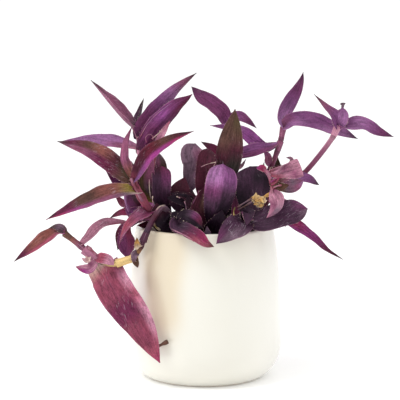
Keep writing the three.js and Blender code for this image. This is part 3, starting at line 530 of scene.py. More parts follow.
                 right="violet lilac lilac violet plum dusk", fold=26, blunt=1.9, mottle=0.2, scuff=0.3),
            leaf(8, [(109, -12, 218.3), (100.5, -12, 227.4), (91.2, -11, 237.3)], 14.3, (0.4, -0.8, 0.4),
                 "violet violet mauve soot", belly=0.25, blunt=0.75, root=0.7, clasp=0.3),
            leaf(8, [(114.3, -11, 218), (115.3, -9, 226.3)], 13.5, (-0.2, -0.9, 0.2), "lilac lilac violet",
                 blunt=2.4, clasp=0.3),
            leaf(1, [(59.4, -14, 133), (76.4, -22, 125.2), (91, -26, 115.4), (103, -28, 105.6),
                     (117, -30, 98)], 14.8, (0.3, -0.6, 0.8), "wine magenta crimson magenta wine soot",
                 right="wine crimson magenta magenta wine soot", fold=28, belly=0.45, blunt=1.3,
                 scuff=0.4),
        ],
        sheaths=[(8, 9, 3.3)],
        spurs=[
            ([(112.5, -7, 216), (114.7, -7, 225), (115.6, -7, 230)], 1, "violet slate slate"),
            ([(113.2, -7.5, 228.7), (115, -7.5, 229.9), (117.2, -7, 229.3)], 0.6, "slate soot slate"),
        ],
    ),
    "bract_shoot": shoot(
        "red_leaf", "ink ink maroon rose rose blush crimson", 1.6,
        [(34, -30, 102), (42, -33, 128), (52, -34, 145), (57, -31, 155), (56, -29, 163), (53.8, -27, 170),
         (49, -24, 175)],
        [
            leaf(5, [(62, -29, 170.3), (72, -28, 173), (81, -27, 176.2)], 16.5, (0, -1, 0.2),
                 "rose blush mauve blush blush", right="rose rose blush mauve blush", belly=0.92, blunt=5,
                 root=0.14, flare=1.2, mottle=0.3, scuff=0.5),
            leaf(5.2, [(70.5, -20, 177.5), (73, -20, 181), (72, -20, 183.8), (68, -20, 184.3)], 5,
                 (0, -1, 0.2), "rose blush blush slate", root=0.8, belly=0.5, blunt=3),
            leaf(5, [(58, -18, 172), (64.5, -16, 178.5)], 9, (0, -1, 0.2), "maroon oxblood maroon"),
            leaf(4, [(65, -32, 161.1), (73.5, -32, 160.3), (83, -29, 165.1)], 12.5, (0, -0.95, 0.3),
                 "umber mauve slate mauve", right="umber moss slate mauve lilac",
                 under="rose rose mauve mauve", belly=0.5, blunt=2.6),
            leaf(4, [(64, -37, 160), (71, -38, 161.3)], 6.5, (0, -1, 0.2), "umber bark bark", blunt=3,
                 clasp=0),
            leaf(4.2, [(64, -36, 165), (72, -36, 166.3)], 4.5, (0, -1, 0.2), "crimson umber mauve",
                 clasp=0),
            leaf(4.6, [(70, -21, 168.2), (84.4, -20, 166.9), (96.3, -18, 161.2)], 10, (0, -0.8, 0.6),
                 "orchid orchid lilac violet soot", belly=0.6, blunt=2.2),
            leaf(3.5, [(57.6, -40, 155), (60.6, -46, 149.5), (60.6, -51, 143.8), (57.4, -55, 138.4),
                       (52.2, -58, 133.4)], 13.2, (-0.2, -0.9, 0.3), "rose mauve blush slate mauve",
                 right="rose blush mauve blush", fold=15, belly=0.5, root=0.2, flare=3, blunt=1.5,
                 scuff=0.5),
            leaf(5.6, [(48.5, -25, 174.2), (43.6, -24, 175.8)], 8, (0.2, -0.8, 0.6),
                 "rose crimson magenta", fold=25, ripple=1, blunt=3),
        ],
        spurs=[
            ([(56, -38, 161), (60, -38, 163.5), (62.5, -38, 167.5)], 0.6, "crimson rose crimson"),
            ([(57, -38, 158.5), (61, -39, 160.5), (64.5, -38, 161)], 0.7, "rose blush rose"),
            ([(55.5, -36, 163.5), (60, -37, 166.5), (70, -36, 168)], 0.6, "magenta crimson blush"),
            ([(55.8, -38, 160), (57, -41, 154), (57, -43, 149)], 0.8, "rose blush mauve"),
            ([(58.5, -37, 157), (62, -37, 156.3), (65, -36, 157.5)], 0.9, "crimson oxblood umber"),
        ],
    ),
    "dark_right_shoot": shoot(
        "purple_leaf", "ink ink maroon", 2.4,
        [(22, -34, 102), (29, -37, 124), (35, -40, 133)],
        [
            leaf(1, [(36, -26, 142), (40, -20, 158), (39.6, -15, 169), (38, -11, 177)], 30.4, (0, -1, 0.1),
                 "ink ink ink dusk dusk", right="ink ink dusk dusk ink dusk", fold=10, belly=0.66, blunt=6,
                 root=0.5, flare=1.2, mottle=0.1),
            leaf(2, [(48, -49, 131), (60, -50, 134.6), (74, -49, 138.4), (86.7, -46, 141.2)], 22.4,
                 (-0.1, -0.85, 0.5), "ink dusk dusk dusk plum", right="ink dusk dusk dusk dusk slate",
                 fold=8, belly=0.6, blunt=3.6, clasp=0, scuff=0.5, mottle=0.1),
            leaf(1.7, [(30, -55, 128), (21, -62, 121.5), (10, -65, 111.5)], 21, (0, -0.9, 0.4),
                 "dusk dusk slate dusk", right="dusk dusk dusk plum", fold=12, belly=0.45, blunt=1.9,
                 scuff=1, mottle=0.2),
            leaf(2, [(36.8, -56, 137), (35.5, -60, 127)], 12, (0, -1, 0.2), "ink ink dusk", blunt=2.2,
                 stripe=(0.2, 0.8)),
            leaf(0.8, [(26, -33, 140), (25, -31, 156)], 8, (0, -1, 0), "ink wine dusk"),
        ],
        spurs=[
            ([(40, -46, 150), (34, -46, 146.5), (28, -45, 142.5)], 0.7, "umber slate umber"),
            ([(40, -46, 147.3), (34, -46, 143.5), (28, -45, 140)], 0.7, "slate umber dusk"),
            ([(26, -45, 142.5), (24.6, -45, 139.5), (24.8, -45, 135.5)], 0.55, "olive moss straw"),
        ],
    ),
    "back_left_shoot": shoot(
        "purple_leaf", "ink wine mauve mauve", 2.2,
        [(-18, 22, 106), (-32, 34, 134), (-37, 46, 147), (-42, 58, 149)],
        [
            leaf(3, [(-45, 74, 142), (-45, 92, 118), (-43, 100, 92)], 22, (-0.3, 0.5, 0.8),
                 "plum plum wine maroon", right="violet plum plum maroon", fold=22),
            leaf(2, [(-38, 62, 150), (-39, 82, 145), (-41, 98, 128)], 19, (0, 0.2, 1),
                 "dusk plum violet wine", fold=22),
            leaf(1, [(-40, 30, 146), (-52, 32, 158), (-57, 36, 169)], 16, (0.7, 0.3, 0.6),
                 "wine plum maroon", fold=25),
        ],
    ),
    "back_center_shoot": shoot(
        "purple_leaf", "ink wine mauve mauve", 2.2,
        [(0, 26, 106), (2, 38, 136), (4, 54, 151), (6, 66, 155)],
        [
            leaf(3, [(4, 84, 150), (0, 104, 128), (-4, 112, 100)], 24, (0, 0.5, 0.9),
                 "plum violet plum maroon", right="plum plum magenta wine", fold=22, scuff=0.4),
            leaf(2, [(14, 60, 166), (20, 66, 170), (30, 76, 162)], 20, (0.2, 0.2, 1), "dusk plum plum",
                 fold=22),
            leaf(1, [(-7, 42, 146), (-12, 50, 149), (-16, 64, 143)], 16, (-0.2, 0.2, 1),
                 "maroon umber wine", fold=22),
            leaf(3, [(7, 66, 168), (9, 62, 186)], 20, (0, -1, 0.2), "dusk maroon maroon"),
        ],
    ),
    "back_right_shoot": shoot(
        "purple_leaf", "ink wine mauve mauve", 2.2,
        [(22, 28, 106), (30, 35, 138), (42, 48, 148), (50, 58, 151)],
        [
            leaf(3, [(58, 74, 148), (66, 90, 138), (68, 102, 126)], 22, (0.3, 0.3, 0.9),
                 "plum magenta plum wine", fold=22),
            leaf(2, [(42, 66, 158), (38, 84, 152), (34, 98, 130)], 20, (0, 0.3, 1),
                 "dusk plum plum maroon", right="plum violet violet wine", fold=22),
            leaf(1, [(44, 32, 148), (58, 34, 156), (72, 38, 160)], 16, (-0.3, 0.3, 0.9), "dusk plum wine",
                 fold=25),
        ],
    ),
    "back_trailing_shoot": shoot(
        "red_leaf", "ink wine rose mauve mauve rose rose", 2.3,
        [(-6, 30, 106), (-8, 42, 136), (-10, 56, 144.5), (-12, 70, 140), (-11, 78, 122), (-8, 81, 98),
         (-4, 82, 76)],
        [
            leaf(4, [(-24, 84, 118), (-38, 92, 104), (-44, 92, 84)], 19, (-0.3, 0.6, 0.6),
                 "rose magenta rose wine", right="rose rose mauve maroon", fold=22, scuff=0.4),
            leaf(5, [(6, 92, 94), (20, 98, 78), (26, 96, 56)], 19, (0.3, 0.7, 0.5),
                 "rose mauve magenta wine", fold=22),
            leaf(6, [(-4, 90, 62), (-10, 94, 46), (-12, 92, 32)], 18, (0, 1, 0.3), "rose rose crimson",
                 fold=22, scuff=0.5),
        ],
    ),
}

# The withered flower: its middle, its size and the stalk that it hangs on
FLOWER_CENTER = (45.5, -42, 149)
FLOWER_PETALS = 30
FLOWER_RADIUS = 8.6
FLOWER_STALK = [(54.7, -34.3, 153.7), (48, -41, 150)]
FLOWER_STALK_RADIUS = 0.0013
FLOWER_SEED = 77
PETAL_SPREAD = (1, 0.7, 0.9)  # how strongly petals point along x, y and z
PETAL_CURL = 0.7  # how far they bend away
PETAL_SHARES = (0.55, 1)  # how long they are, as shares of the flower's radius
PETAL_FOLDS = (5, 50)  # degrees
PETAL_WIDTHS = (3.5, 6)
PETAL_TINTS = ("tan straw tan", "tan straw straw", "bark tan straw", "straw straw cream", "tan tan straw")


class Wire:
    """The output of a shader node, which can stand in sums."""

    def __init__(self, finish, socket):
        self.finish = finish
        self.socket = socket

    def __add__(self, other):
        return self.finish.sum("ADD", self, other)

    def __radd__(self, other):
        return self.finish.sum("ADD", other, self)

    def __sub__(self, other):
        return self.finish.sum("SUBTRACT", self, other)

    def __rsub__(self, other):
        return self.finish.sum("SUBTRACT", other, self)

    def __mul__(self, other):
        return self.finish.sum("MULTIPLY", self, other)

    def __rmul__(self, other):
        return self.finish.sum("MULTIPLY", other, self)

    def between(self, low, high):
        """0 below `low`, 1 above `high`, and a soft rise from one to the other."""
        settings = {"interpolation_type": "SMOOTHSTEP"}
        return self.finish.node("ShaderNodeMapRange", settings, {0: self, 1: low, 2: high})


class Finish:
    """A material and the nodes that make it."""

    def __init__(self, name):
        self.material = bpy.data.materials.new(name)
        self.material.use_nodes = True
        self.tree = self.material.node_tree
        self.shader = self.tree.nodes["Principled BSDF"]

    def node(self, kind, settings=None, inputs=None, output=0):
        """A node of that kind: its settings first, then the values or wires of its sockets."""
        made = self.tree.nodes.new(kind)
        for name, value in (settings or {}).items():
            setattr(made, name, value)
        for name, value in (inputs or {}).items():
            self.feed(made.inputs[name], value)
        return Wire(self, made.outputs[output])

    def feed(self, socket, value):
        """Links a wire to a socket, or sets the socket's value."""
        if isinstance(value, Wire):
            self.tree.links.new(value.socket, socket)
        else:
            socket.default_value = value

    def sum(self, operation, first, second):
        return self.node("ShaderNodeMath", {"operation": operation}, {0: first, 1: second})

    def mix(self, share, first, second, blend="MIX"):
        """The colour `share` of the way from the first colour to the second."""
        settings = {"data_type": "RGBA", "blend_type": blend}
        return self.node("ShaderNodeMix", settings, {0: share, 6: first, 7: second}, output=2)

    def noise(self, place, scale, detail=2, roughness=0.5):
        inputs = {"Vector": place, "Scale": scale, "Detail": detail, "Roughness": roughness}
        return self.node("ShaderNodeTexNoise", None, inputs)

    def attribute(self, name, output):
        return self.node("ShaderNodeAttribute", {"attribute_name": name}, None, output)

    def split(self, vector):
        """The three parts of a vector or a colour."""
        made = self.tree.nodes.new("ShaderNodeSeparateXYZ")
        self.feed(made.inputs[0], vector)
        return [Wire(self, out) for out in made.outputs]

    def join(self, x, y, z):
        return self.node("ShaderNodeCombineXYZ", None, {0: x, 1: y, 2: z})

    def place(self):
        """Where a point of the surface is on its object."""
        return self.node("ShaderNodeTexCoord", None, None, "Object")

    def bump(self, height, strength, distance):
        inputs = {"Height": height, "Strength": strength, "Distance": distance}
        return self.node("ShaderNodeBump", None, inputs)

    def set(self, **values):
        """Sets the shader's sockets: words joined by _ are the socket's name."""
        for name, value in values.items():
            self.feed(self.shader.inputs[name.replace("_", " ")], value)
        return self.material


def plain(color):
    return (*color, 1)


def leaf_finish(colors):
    """Waxy leaf: fine lengthwise veins, a paler margin that is partly its own colour and partly a painted
    rim highlight, warm blotches, scratches and withered spots.
    """
    finish = Finish("tradescantia_leaf")
    grain = finish.attribute("grain", "Vector")
    across, run, seed = finish.split(grain)
    scuff, mottle, dry = finish.split(finish.attribute("wear", "Color"))
    place = finish.place()
    off = finish.sum("ABSOLUTE", across, 0)
    veins = finish.noise(finish.join(across * 6, run * 90, seed * 9), 1, 4, 0.65)
    lines = finish.noise(finish.join(across * 17, run * 110, seed * 9), 1, 2)
    cells = finish.noise(place, 760, 3, 0.6)
    patches = finish.noise(place, 95, 3, 0.6)
    slant = across * 17 + run * 560
    scratches = finish.noise(finish.join(slant, run * 120, seed * 5), 1.3, 3, 0.6)
    dust = finish.noise(place, 70, 2)

    grain_value = veins.between(0.35, 0.65) * 0.34 + lines.between(0.35, 0.65) * 0.2
    value = 0.3 + grain_value + cells.between(0.32, 0.68) * 0.24 + patches.between(0.3, 0.7) * 0.22
    gray = finish.join(value, value, value)
    tint = finish.attribute("tone", "Color")
    tone = finish.mix(1.0, tint, gray, "MULTIPLY")
    warm = patches.between(0.5, 0.72) * mottle * 0.5
    tone = finish.mix(warm, tone, plain(colors.blotch), "OVERLAY")
    pale = finish.split(tint)[0].between(0.0, 0.35)
    rib = (1 - off.between(0.0, 0.06)) * pale * 0.2
    tone = finish.mix(rib, tone, plain(colors.rib))
    # A paler margin: partly the leaf's own pale hairy edge, partly a painted rim highlight
    edge = off.between(0.91, 0.98) * (0.1 + pale * 0.5) * (0.2 + veins.between(0.35, 0.65) * 0.8)
    tone = finish.mix(edge, tone, plain(colors.margin))
    marks = scratches.between(0.58, 0.68) * dust.between(0.46, 0.6) * scuff
    tone = finish.mix(marks * 0.62, tone, plain(colors.scratch))
    spots = finish.noise(place, 240, 3).between(0.45, 0.62) * dry
    tone = finish.mix(spots * 0.7, tone, plain(colors.withered))

    height = veins * 0.5 + lines * 0.35 + cells * 0.15 - (1 - off.between(0.0, 0.06)) * 0.6
    return finish.set(
        Base_Color=tone,
        Roughness=0.4 + (1 - veins) * 0.16 + marks * 0.25 + dry * 0.3,
        Specular_IOR_Level=0.1,
        Normal=finish.bump(height, 0.5, 0.0006),
    )


def stem_finish(colors):
    """Fleshy stem: lengthwise streaks, fine dots and a satin skin."""
    finish = Finish("tradescantia_stem")
    round_x, run, round_y = finish.split(finish.attribute("grain", "Vector"))
    scuff, mottle, dry = finish.split(finish.attribute("wear", "Color"))
    place = finish.place()
    streaks = finish.noise(finish.join(round_x * 4, round_y * 4, run * 25), 1, 3, 0.6)
    dots = finish.noise(place, 1400, 2)
    patches = finish.noise(place, 160, 2)
    value = 0.5 + streaks.between(0.3, 0.7) * 0.45 + dots.between(0.3, 0.7) * 0.25
    gray = finish.join(value, value, value)
    tone = finish.mix(1.0, finish.attribute("tone", "Color"), gray, "MULTIPLY")
    tone = finish.mix(patches.between(0.55, 0.75) * mottle, tone, plain(colors.blotch))
    tone = finish.mix(dry * 0.8, tone, plain(colors.withered))
    tone = finish.mix(streaks.between(0.62, 0.72) * scuff, tone, plain(colors.scratch))
    return finish.set(
        Base_Color=tone,
        Roughness=0.38 + (1 - streaks) * 0.2,
        Specular_IOR_Level=0.2,
        Normal=finish.bump(streaks * 0.7 + dots * 0.3, 0.3, 0.0004),
    )


def dry_finish(colors):
    """Withered petal or scrap: papery and crinkled, with brown folds."""
    finish = Finish("withered_petal")
    place = finish.place()
    crinkle = finish.noise(place, 520, 4, 0.7)
    stains = finish.noise(place, 260, 2)
    tone = finish.mix(stains.between(0.5, 0.66) * 0.6, finish.attribute("tone", "Color"),
                      plain(colors.withered))
    tone = finish.mix(crinkle.between(0.62, 0.8) * 0.35, tone, plain(colors.scratch))
    return finish.set(
        Base_Color=tone,
        Roughness=0.72 + crinkle * 0.2,
        Specular_IOR_Level=0.3,
        Normal=finish.bump(crinkle, 0.6, 0.0006),
    )


def plant_finishes(colors):
    """The finishes of leaves, stems and withered pieces, in the order of the slots."""
    return [leaf_finish(colors), stem_finish(colors), dry_finish(colors)]


def glaze_finish(pot):
    """Satin cream glaze: clouded tone, painted shade near the rim and a painted shadow band, painted light
    on its right side, fine orange peel, pinholes and a bare foot ring.
    """
    finish = Finish("cream_glaze")
    place = finish.place()
    x, y, z = finish.split(place)
    clouds = finish.noise(place, 14, 3, 0.55)
    peel = finish.noise(place, 620, 2)
    pins = finish.noise(place, 1500, 1).between(0.76, 0.8)
    # A painted shadow: a warmer, darker upright band on the front, left of its middle, where the hanging
    # leaf's shadow falls
    painted_leaf_shadow = (0 - x).between(0.006, 0.034) * (1 - (0 - x).between(0.042, 0.054)) * (0 - y).between(0, 0.03)
    # Painted shade: warmer and darker towards the rim, under the foliage, and in the painted shadow band;
    # the clouds add the glaze's own random tone
    warm = painted_leaf_shadow * z.between(0.02, 0.07) * 1.1 + z.between(0.08, 0.122) * 0.3 + clouds * 0.5 - 0.2
    tone = finish.mix(warm.between(0, 1), plain(pot.glaze_cloud), plain(pot.glaze))
    tone = finish.mix((1 - z.between(0.0, 0.05)) * 0.35, tone, plain(pot.glaze_pool))
    # Painted light: the glaze is paler towards the right side
    tone = finish.mix(x.between(0.015, 0.06) * 0.45, tone, plain(pot.glaze_painted_light))
    tone = finish.mix(pins * 0.12, tone, plain(pot.clay))
    bare = 1 - z.between(0.0004, 0.0009)
    tone = finish.mix(bare, tone, plain(pot.clay))
    return finish.set(
        Base_Color=tone,
        Roughness=0.34 + clouds * 0.1 + bare * 0.4,
        Specular_IOR_Level=0.4,
        Coat_Weight=(1 - bare) * 0.8,
        Coat_Roughness=0.18,
        Normal=finish.bump(peel * 0.5 + clouds * 0.5, 0.08, 0.0008),
    )


def soil_finish(soil):
    """Dark potting mix with lighter fibres and damp hollows."""
    finish = Finish("potting_soil")
    place = finish.place()
    clods = finish.noise(place, 180, 5, 0.7)
    fibres = finish.noise(place, 620, 3, 0.8)
    tone = finish.mix(clods.between(0.35, 0.7), plain(soil.damp), plain(soil.dry))
    tone = finish.mix(fibres.between(0.62, 0.74) * 0.6, tone, plain(soil.fibre))
    return finish.set(
        Base_Color=tone,
        Roughness=0.85 + fibres * 0.1,
        Specular_IOR_Level=0.25,
        Normal=finish.bump(clods * 0.7 + fibres * 0.3, 0.9, 0.002),
    )


def seen(points):
    """True places, in metres, of points laid out in millimetres as they are seen from the eye."""
    laid = np.array(points, float)
    reach = 1 - laid[:, 1:2] / EYE[1]
    true = EYE + (laid - EYE) * reach
    true[:, 1] = laid[:, 1]
    return true * MM


def spans(points, steps):
    """A soft curve through the points, as `steps` places to each span and the last point."""
    knots = np.array(points, float)
    knots = np.vstack([2 * knots[0] - knots[1], knots, 2 * knots[-1] - knots[-2]])
    t = np.linspace(0, 1, steps, endpoint=False)[:, None]
    made = []
    for p, q, r, s in zip(knots, knots[1:], knots[2:], knots[3:]):
        bend = 2 * p - 5 * q + 4 * r - s
        twist = 3 * q - p - 3 * r + s
        made.append(q + 0.5 * t * (r - p + t * (bend + t * twist)))
    return np.vstack([*made, knots[-2:-1]])


def unit(vectors):
    return vectors / np.maximum(np.linalg.norm(vectors, axis=-1, keepdims=True), 1e-12)


def follow(points, shares):
    """Places and directions at those shares of the length of a soft curve through the points."""
    dense = spans(points, CURVE_STEPS)
    gone = np.r_[0, np.cumsum(np.linalg.norm(np.diff(dense, axis=0), axis=1))]
    heading = unit(np.gradient(dense, axis=0))
    at = np.asarray(shares) * gone[-1]
    places = np.stack([np.interp(at, gone, dense[:, k]) for k in range(3)], axis=-1)
    headings = unit(np.stack([np.interp(at, gone, heading[:, k]) for k in range(3)], axis=-1))
    return places, headings, gone[-1]


def on_stem(points, node):
    """The place and direction on a stem at a node, which may lie between two of its points."""
    dense = spans(points, STEM_STEPS)
    at = node * STEM_STEPS
    index = min(int(at), len(dense) - 2)
    place = dense[index] + (dense[index + 1] - dense[index]) * (at - index)
    return place, unit(dense[index + 1] - dense[index])


def blended(names, shares):
    """Colours at those shares of the way along the named tints."""
    tints = bpy.context.scene.plant_tints
    stops = np.array([getattr(tints, name) for name in names.split()])
    at = np.linspace(0, 1, len(stops)) if len(stops) > 1 else np.array([0.0])
    return np.stack([np.interp(shares, at, stops[:, k]) for k in range(3)], axis=-1)


def halved(first, second, s, crease):
    """Colours over a leaf whose halves have their own, with a soft seam where its crease lies."""
    half = (0.5 + 0.5 * np.tanh((s - crease) / SEAM_WIDTH))[:, None]
    return first[:, None] * (1 - half) + second[:, None] * half


def even(color):
    """One colour all the way along."""
    return lambda shares: np.broadcast_to(color, (len(shares), 3))


class Foliage:
    """The points, faces and colours of one piece, gathered until its mesh is made."""

    def __init__(self):
        self.points = []
        self.tones = []
        self.grains = []
        self.wears = []
        self.faces = []
        self.stuffs = []
        self.count = 0

    def tube(self, rings, tone, grain, wear, stuff):
        """A closed tube through rings of points, which turn left-handed about its way."""
        rows, sides = rings.shape[:2]
        self.points.append(rings.reshape(-1, 3))
        for store, value in ((self.tones, tone), (self.grains, grain), (self.wears, wear)):
            store.append(np.broadcast_to(value, rings.shape).reshape(-1, 3))
        index = self.count + np.arange(rows * sides).reshape(rows, sides)
        turned = np.roll(index, -1, axis=1)
        quads = np.stack([index[:-1], turned[:-1], turned[1:], index[1:]], axis=-1).reshape(-1, 4)
        faces = [*quads.tolist(), index[0, ::-1].tolist(), index[-1].tolist()]
        self.faces.extend(faces)
        self.stuffs.extend([stuff] * len(faces))
        self.count += rows * sides

    def mesh(self, name):
        made = bpy.data.meshes.new(name)
        made.from_pydata(np.vstack(self.points).tolist(), [], self.faces)
        colors = np.vstack(self.tones)
        for label, kind, field, values in (
            ("tone", "FLOAT_COLOR", "color", np.c_[colors, np.ones(len(colors))]),
            ("grain", "FLOAT_VECTOR", "vector", np.vstack(self.grains)),
            ("wear", "FLOAT_COLOR", "color", np.c_[np.vstack(self.wears), np.ones(len(colors))]),
        ):
            made.attributes.new(label, kind, "POINT").data.foreach_set(field, values.ravel())
        made.polygons.foreach_set("material_index", self.stuffs)
        return made


def frames(headings):
    """Two directions square to each heading, which turn as little as they can from one to the next."""
    first = np.cross(headings[0], START_SIDE)
    sides = []
    for heading in headings:
        first = unit(first - heading * (first @ heading))
        sides.append(first)
    sides = np.array(sides)
    return sides, np.cross(headings, sides)


def rod(foliage, points, radii, tone, wear, stuff, sides, steps):
    """A round bar through the points: `radii` and `tone` are functions of the share of its length."""
    shares = np.linspace(0, 1, steps + 1)
    places, headings, length = follow(points, shares)
    right, up = frames(headings)
    angle = np.linspace(0, 2 * math.pi, sides, endpoint=False)
    cos, sin = np.cos(angle)[None, :, None], np.sin(angle)[None, :, None]
    out = right[:, None] * cos + up[:, None] * sin
    rings = places[:, None] + out * radii(shares)[:, None, None]
    grain = np.empty(rings.shape)
    grain[..., 0] = cos[..., 0]
    grain[..., 1] = (shares * length)[:, None]
    grain[..., 2] = sin[..., 0]
    foliage.tube(rings, tone(shares)[:, None], grain, wear, stuff)


def width_share(u, habit):
    """How wide a leaf is at u, from 0 at its base to 1 at its tip, as a share of its full width."""
    belly, root = habit["belly"], habit["root"]
    widening = root + (1 - root) * np.sin(math.pi / 2 * np.minimum(u / belly, 1)) ** habit["flare"]
    closing = 1 - np.clip((u - belly) / (1 - belly), 0, 1) ** habit["blunt"]
    return np.where(u < belly, widening, np.maximum(LEAF_TIP, closing))


def margin_wave(turns, phase):
    """Height of a waved margin: a slow wave and a lower, quicker one."""
    quick = np.sin(turns * QUICK_WAVE + 2 * phase)
    return np.sin(turns * SLOW_WAVE + phase) + QUICK_SHARE * quick


def leaf_sheet(habit, base, draw, shares, strips):
    """The middle of a leaf as rows of points, its normals, and how far across each point lies."""
    u = shares
    centers, along, length = follow([base, *seen(habit["path"])], u)
    face = unit(np.array(habit["face"], float))
    up = unit(face - along * (along @ face)[:, None])
    across = np.cross(along, up)
    half = habit["width"] / 2 * MM * width_share(u, habit)
    wrap = habit["clasp"] * np.clip(1 - u / CLASP_LENGTH, 0, None) ** 2
    fold = np.radians(habit["fold"] * (1 - wrap) + CLASP_ANGLE * wrap)
    s = np.sin(np.linspace(-math.pi / 2, math.pi / 2, strips + 1))
    side = half[:, None] * s * np.cos(fold)[:, None]
    rise = (half * np.sin(fold))[:, None] * np.abs(s - habit["crease"]) ** LEAF_BOW
    waves = length / WAVE_LENGTH
    near, far = (margin_wave(u * waves, draw.uniform(0, SLOW_WAVE))[:, None] for _ in range(2))
    share = np.clip(half / (habit["width"] * MM / 2), 0, 1)[:, None]
    rise = rise + np.where(s < 0, near, far) * s**2 * habit["ripple"] * MM * share
    middle = centers[:, None] + across[:, None] * side[..., None] + up[:, None] * rise[..., None]
    normals = unit(np.cross(np.gradient(middle, axis=1), np.gradient(middle, axis=0)))
    return middle, normals, s, length


def add_leaf(foliage, habit, base, draw):
    """Adds one leaf: an upper and an under skin, thick at the rib and thin at the margins."""
    thickness = bpy.context.scene.plant_leaves.thickness
    rows = SMALL_LEAF_ROWS if habit["width"] < SMALL_LEAF else LEAF_ROWS
    u = 1 - (1 - np.linspace(0, 1, rows + 1)) ** TIP_DETAIL
    middle, normals, s, length = leaf_sheet(habit, base, draw, u, LEAF_STRIPS)
    fullness = MARGIN_BODY + (1 - MARGIN_BODY) * (1 - np.abs(s) ** 3)
    body = thickness * fullness * (1 - TIP_THINNING * u[:, None] ** 2)
    keel = thickness * KEEL_HEIGHT * np.exp(-((s / KEEL_WIDTH) ** 2)) * (1 - u[:, None])
    upper = middle + normals * (body / 2)[..., None]
    under = middle - normals * (body / 2 + keel)[..., None]
    rings = np.concatenate([upper, under[:, ::-1]], axis=1)

    seed = draw.random()
    grain = np.empty(middle.shape)
    grain[..., 0] = s
    grain[..., 1] = (u * length)[:, None]
    grain[..., 2] = seed
    top = halved(blended(habit["tint"], u), blended(habit["right"], u), s, habit["crease"])
    below = halved(blended(habit["under"], u), blended(habit["left_under"], u), s, habit["crease"])
    # A painted highlight: a paler stripe along the leaf, strongest at its middle
    lie, gain = habit["stripe"]
    stripe = 1 + gain * np.exp(-(((s - lie) / PAINTED_HIGHLIGHT_WIDTH) ** 2)) * np.sin(math.pi * u)[:, None]
    shift = (1 + draw.uniform(-SHADE_DRIFT, SHADE_DRIFT)) * stripe[..., None]
    tone = np.concatenate([top * shift, (below * shift)[:, ::-1]], axis=1)
    grain = np.concatenate([grain, grain[:, ::-1]], axis=1)
    wear = habit["scuff"], habit["mottle"], habit["dry"]
    foliage.tube(rings, tone, grain, wear, DRY if habit["dry"] > WITHERED else LEAF)
    add_hairs(foliage, middle, normals, draw)


def add_hairs(foliage, middle, normals, draw):
    """Adds short pale hairs along both margins of a leaf, longest at its base."""
    leaves = bpy.context.scene.plant_leaves
    rows = len(middle)
    color = even(np.array(bpy.context.scene.plant_tints.cream))
    thin = leaves.hair_length * HAIR_RADIUS
    for edge, inner in ((0, 1), (-1, -2)):
        for _ in range(leaves.hairs):
            at = draw.uniform(*HAIR_SPAN) ** HAIR_CROWDING * (rows - 2)
            row, part = int(at), at - int(at)
            root = middle[row, edge] * (1 - part) + middle[row + 1, edge] * part
            out = unit(middle[row, edge] - middle[row, inner])
            lean = unit(middle[row + 1, edge] - middle[row, edge])
            way = out + lean * draw.uniform(*HAIR_LEAN) + normals[row, edge] * draw.uniform(*HAIR_LIFT)
            way = unit(way)
            length = leaves.hair_length * draw.uniform(*HAIR_LENGTHS) * (1.3 - at / rows)
            bent = unit(way + lean * HAIR_BEND)
            points = [root, root + way * length * 0.5, root + bent * length]
            radii = lambda t: thin * (1.05 - t)
            rod(foliage, points, radii, color, HAIR_WEAR, STEM, HAIR_SIDES, HAIR_STEPS)


def add_stem(foliage, spec):
    """Adds a shoot's stem, swollen at each joint, with the sheaths and spurs that it carries."""
    points = seen(spec["stem"])
    last = len(points) - 1
    dense = spans(points, STEM_STEPS)
    gone = np.r_[0, np.cumsum(np.linalg.norm(np.diff(dense, axis=0), axis=1))]
    length = gone[-1]
    joints = sorted({round(habit["node"]) for habit in spec["leaves"]} | {n for n in range(1, last, 3)})
    marks = np.array([gone[min(node * STEM_STEPS, len(gone) - 1)] for node in joints])

    def near_joint(shares):
        away = np.abs(shares[:, None] * length - marks[None])
        return np.exp(-((away / NODE_LENGTH) ** 2)).max(axis=1)

    def radii(shares):
        return spec["radius"] * MM * (1 + NODE_SWELL * near_joint(shares))

    def tone(shares):
        at = np.interp(shares * length, gone, np.linspace(0, 1, len(gone)))
        return blended(spec["tint"], at) * (1 - NODE_SHADE * near_joint(shares))[:, None]

    rod(foliage, points, radii, tone, STEM_WEAR, STEM, STEM_SIDES, int(length / STEM_RING))
    for node, reach, radius in spec["sheaths"]:
        place, heading = on_stem(points, node)
        ends = [place + heading * MM * (1 - reach * share) for share in (1, 0.5, 0)]
        widening = lambda t: radius * MM * (SHEATH_FOOT + (1 - SHEATH_FOOT) * t)
        shade = even(blended(spec["tint"], [node / last])[0] * SHEATH_SHADE)
        rod(foliage, ends, widening, shade, SHEATH_WEAR, STEM, STEM_SIDES, SHEATH_STEPS)
    for path, radius, tint in spec["spurs"]:
        swell = lambda t: radius * MM * (1 + SPUR_SWELL * np.sin(SPUR_WAVES * t))
        shade = lambda t: blended(tint, t)
        rod(foliage, seen(path), swell, shade, SPUR_WEAR, STEM, SPUR_SIDES, SPUR_STEPS)


def settle(name, mesh, materials, node):
    """Puts a mesh in the scene as the piece that stands for a node, smoothed but for its sharp edges."""
    piece = bpy.data.objects.new(name, mesh)
    bpy.context.collection.objects.link(piece)
    for material in materials:
        piece.data.materials.append(material)
    bpy.ops.object.select_all(action="DESELECT")
    piece.select_set(True)
    bpy.context.view_layer.objects.active = piece
    bpy.ops.object.shade_smooth_by_angle(angle=SMOOTH_ANGLE)
    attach(piece, "root")
    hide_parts(node)
    return piece


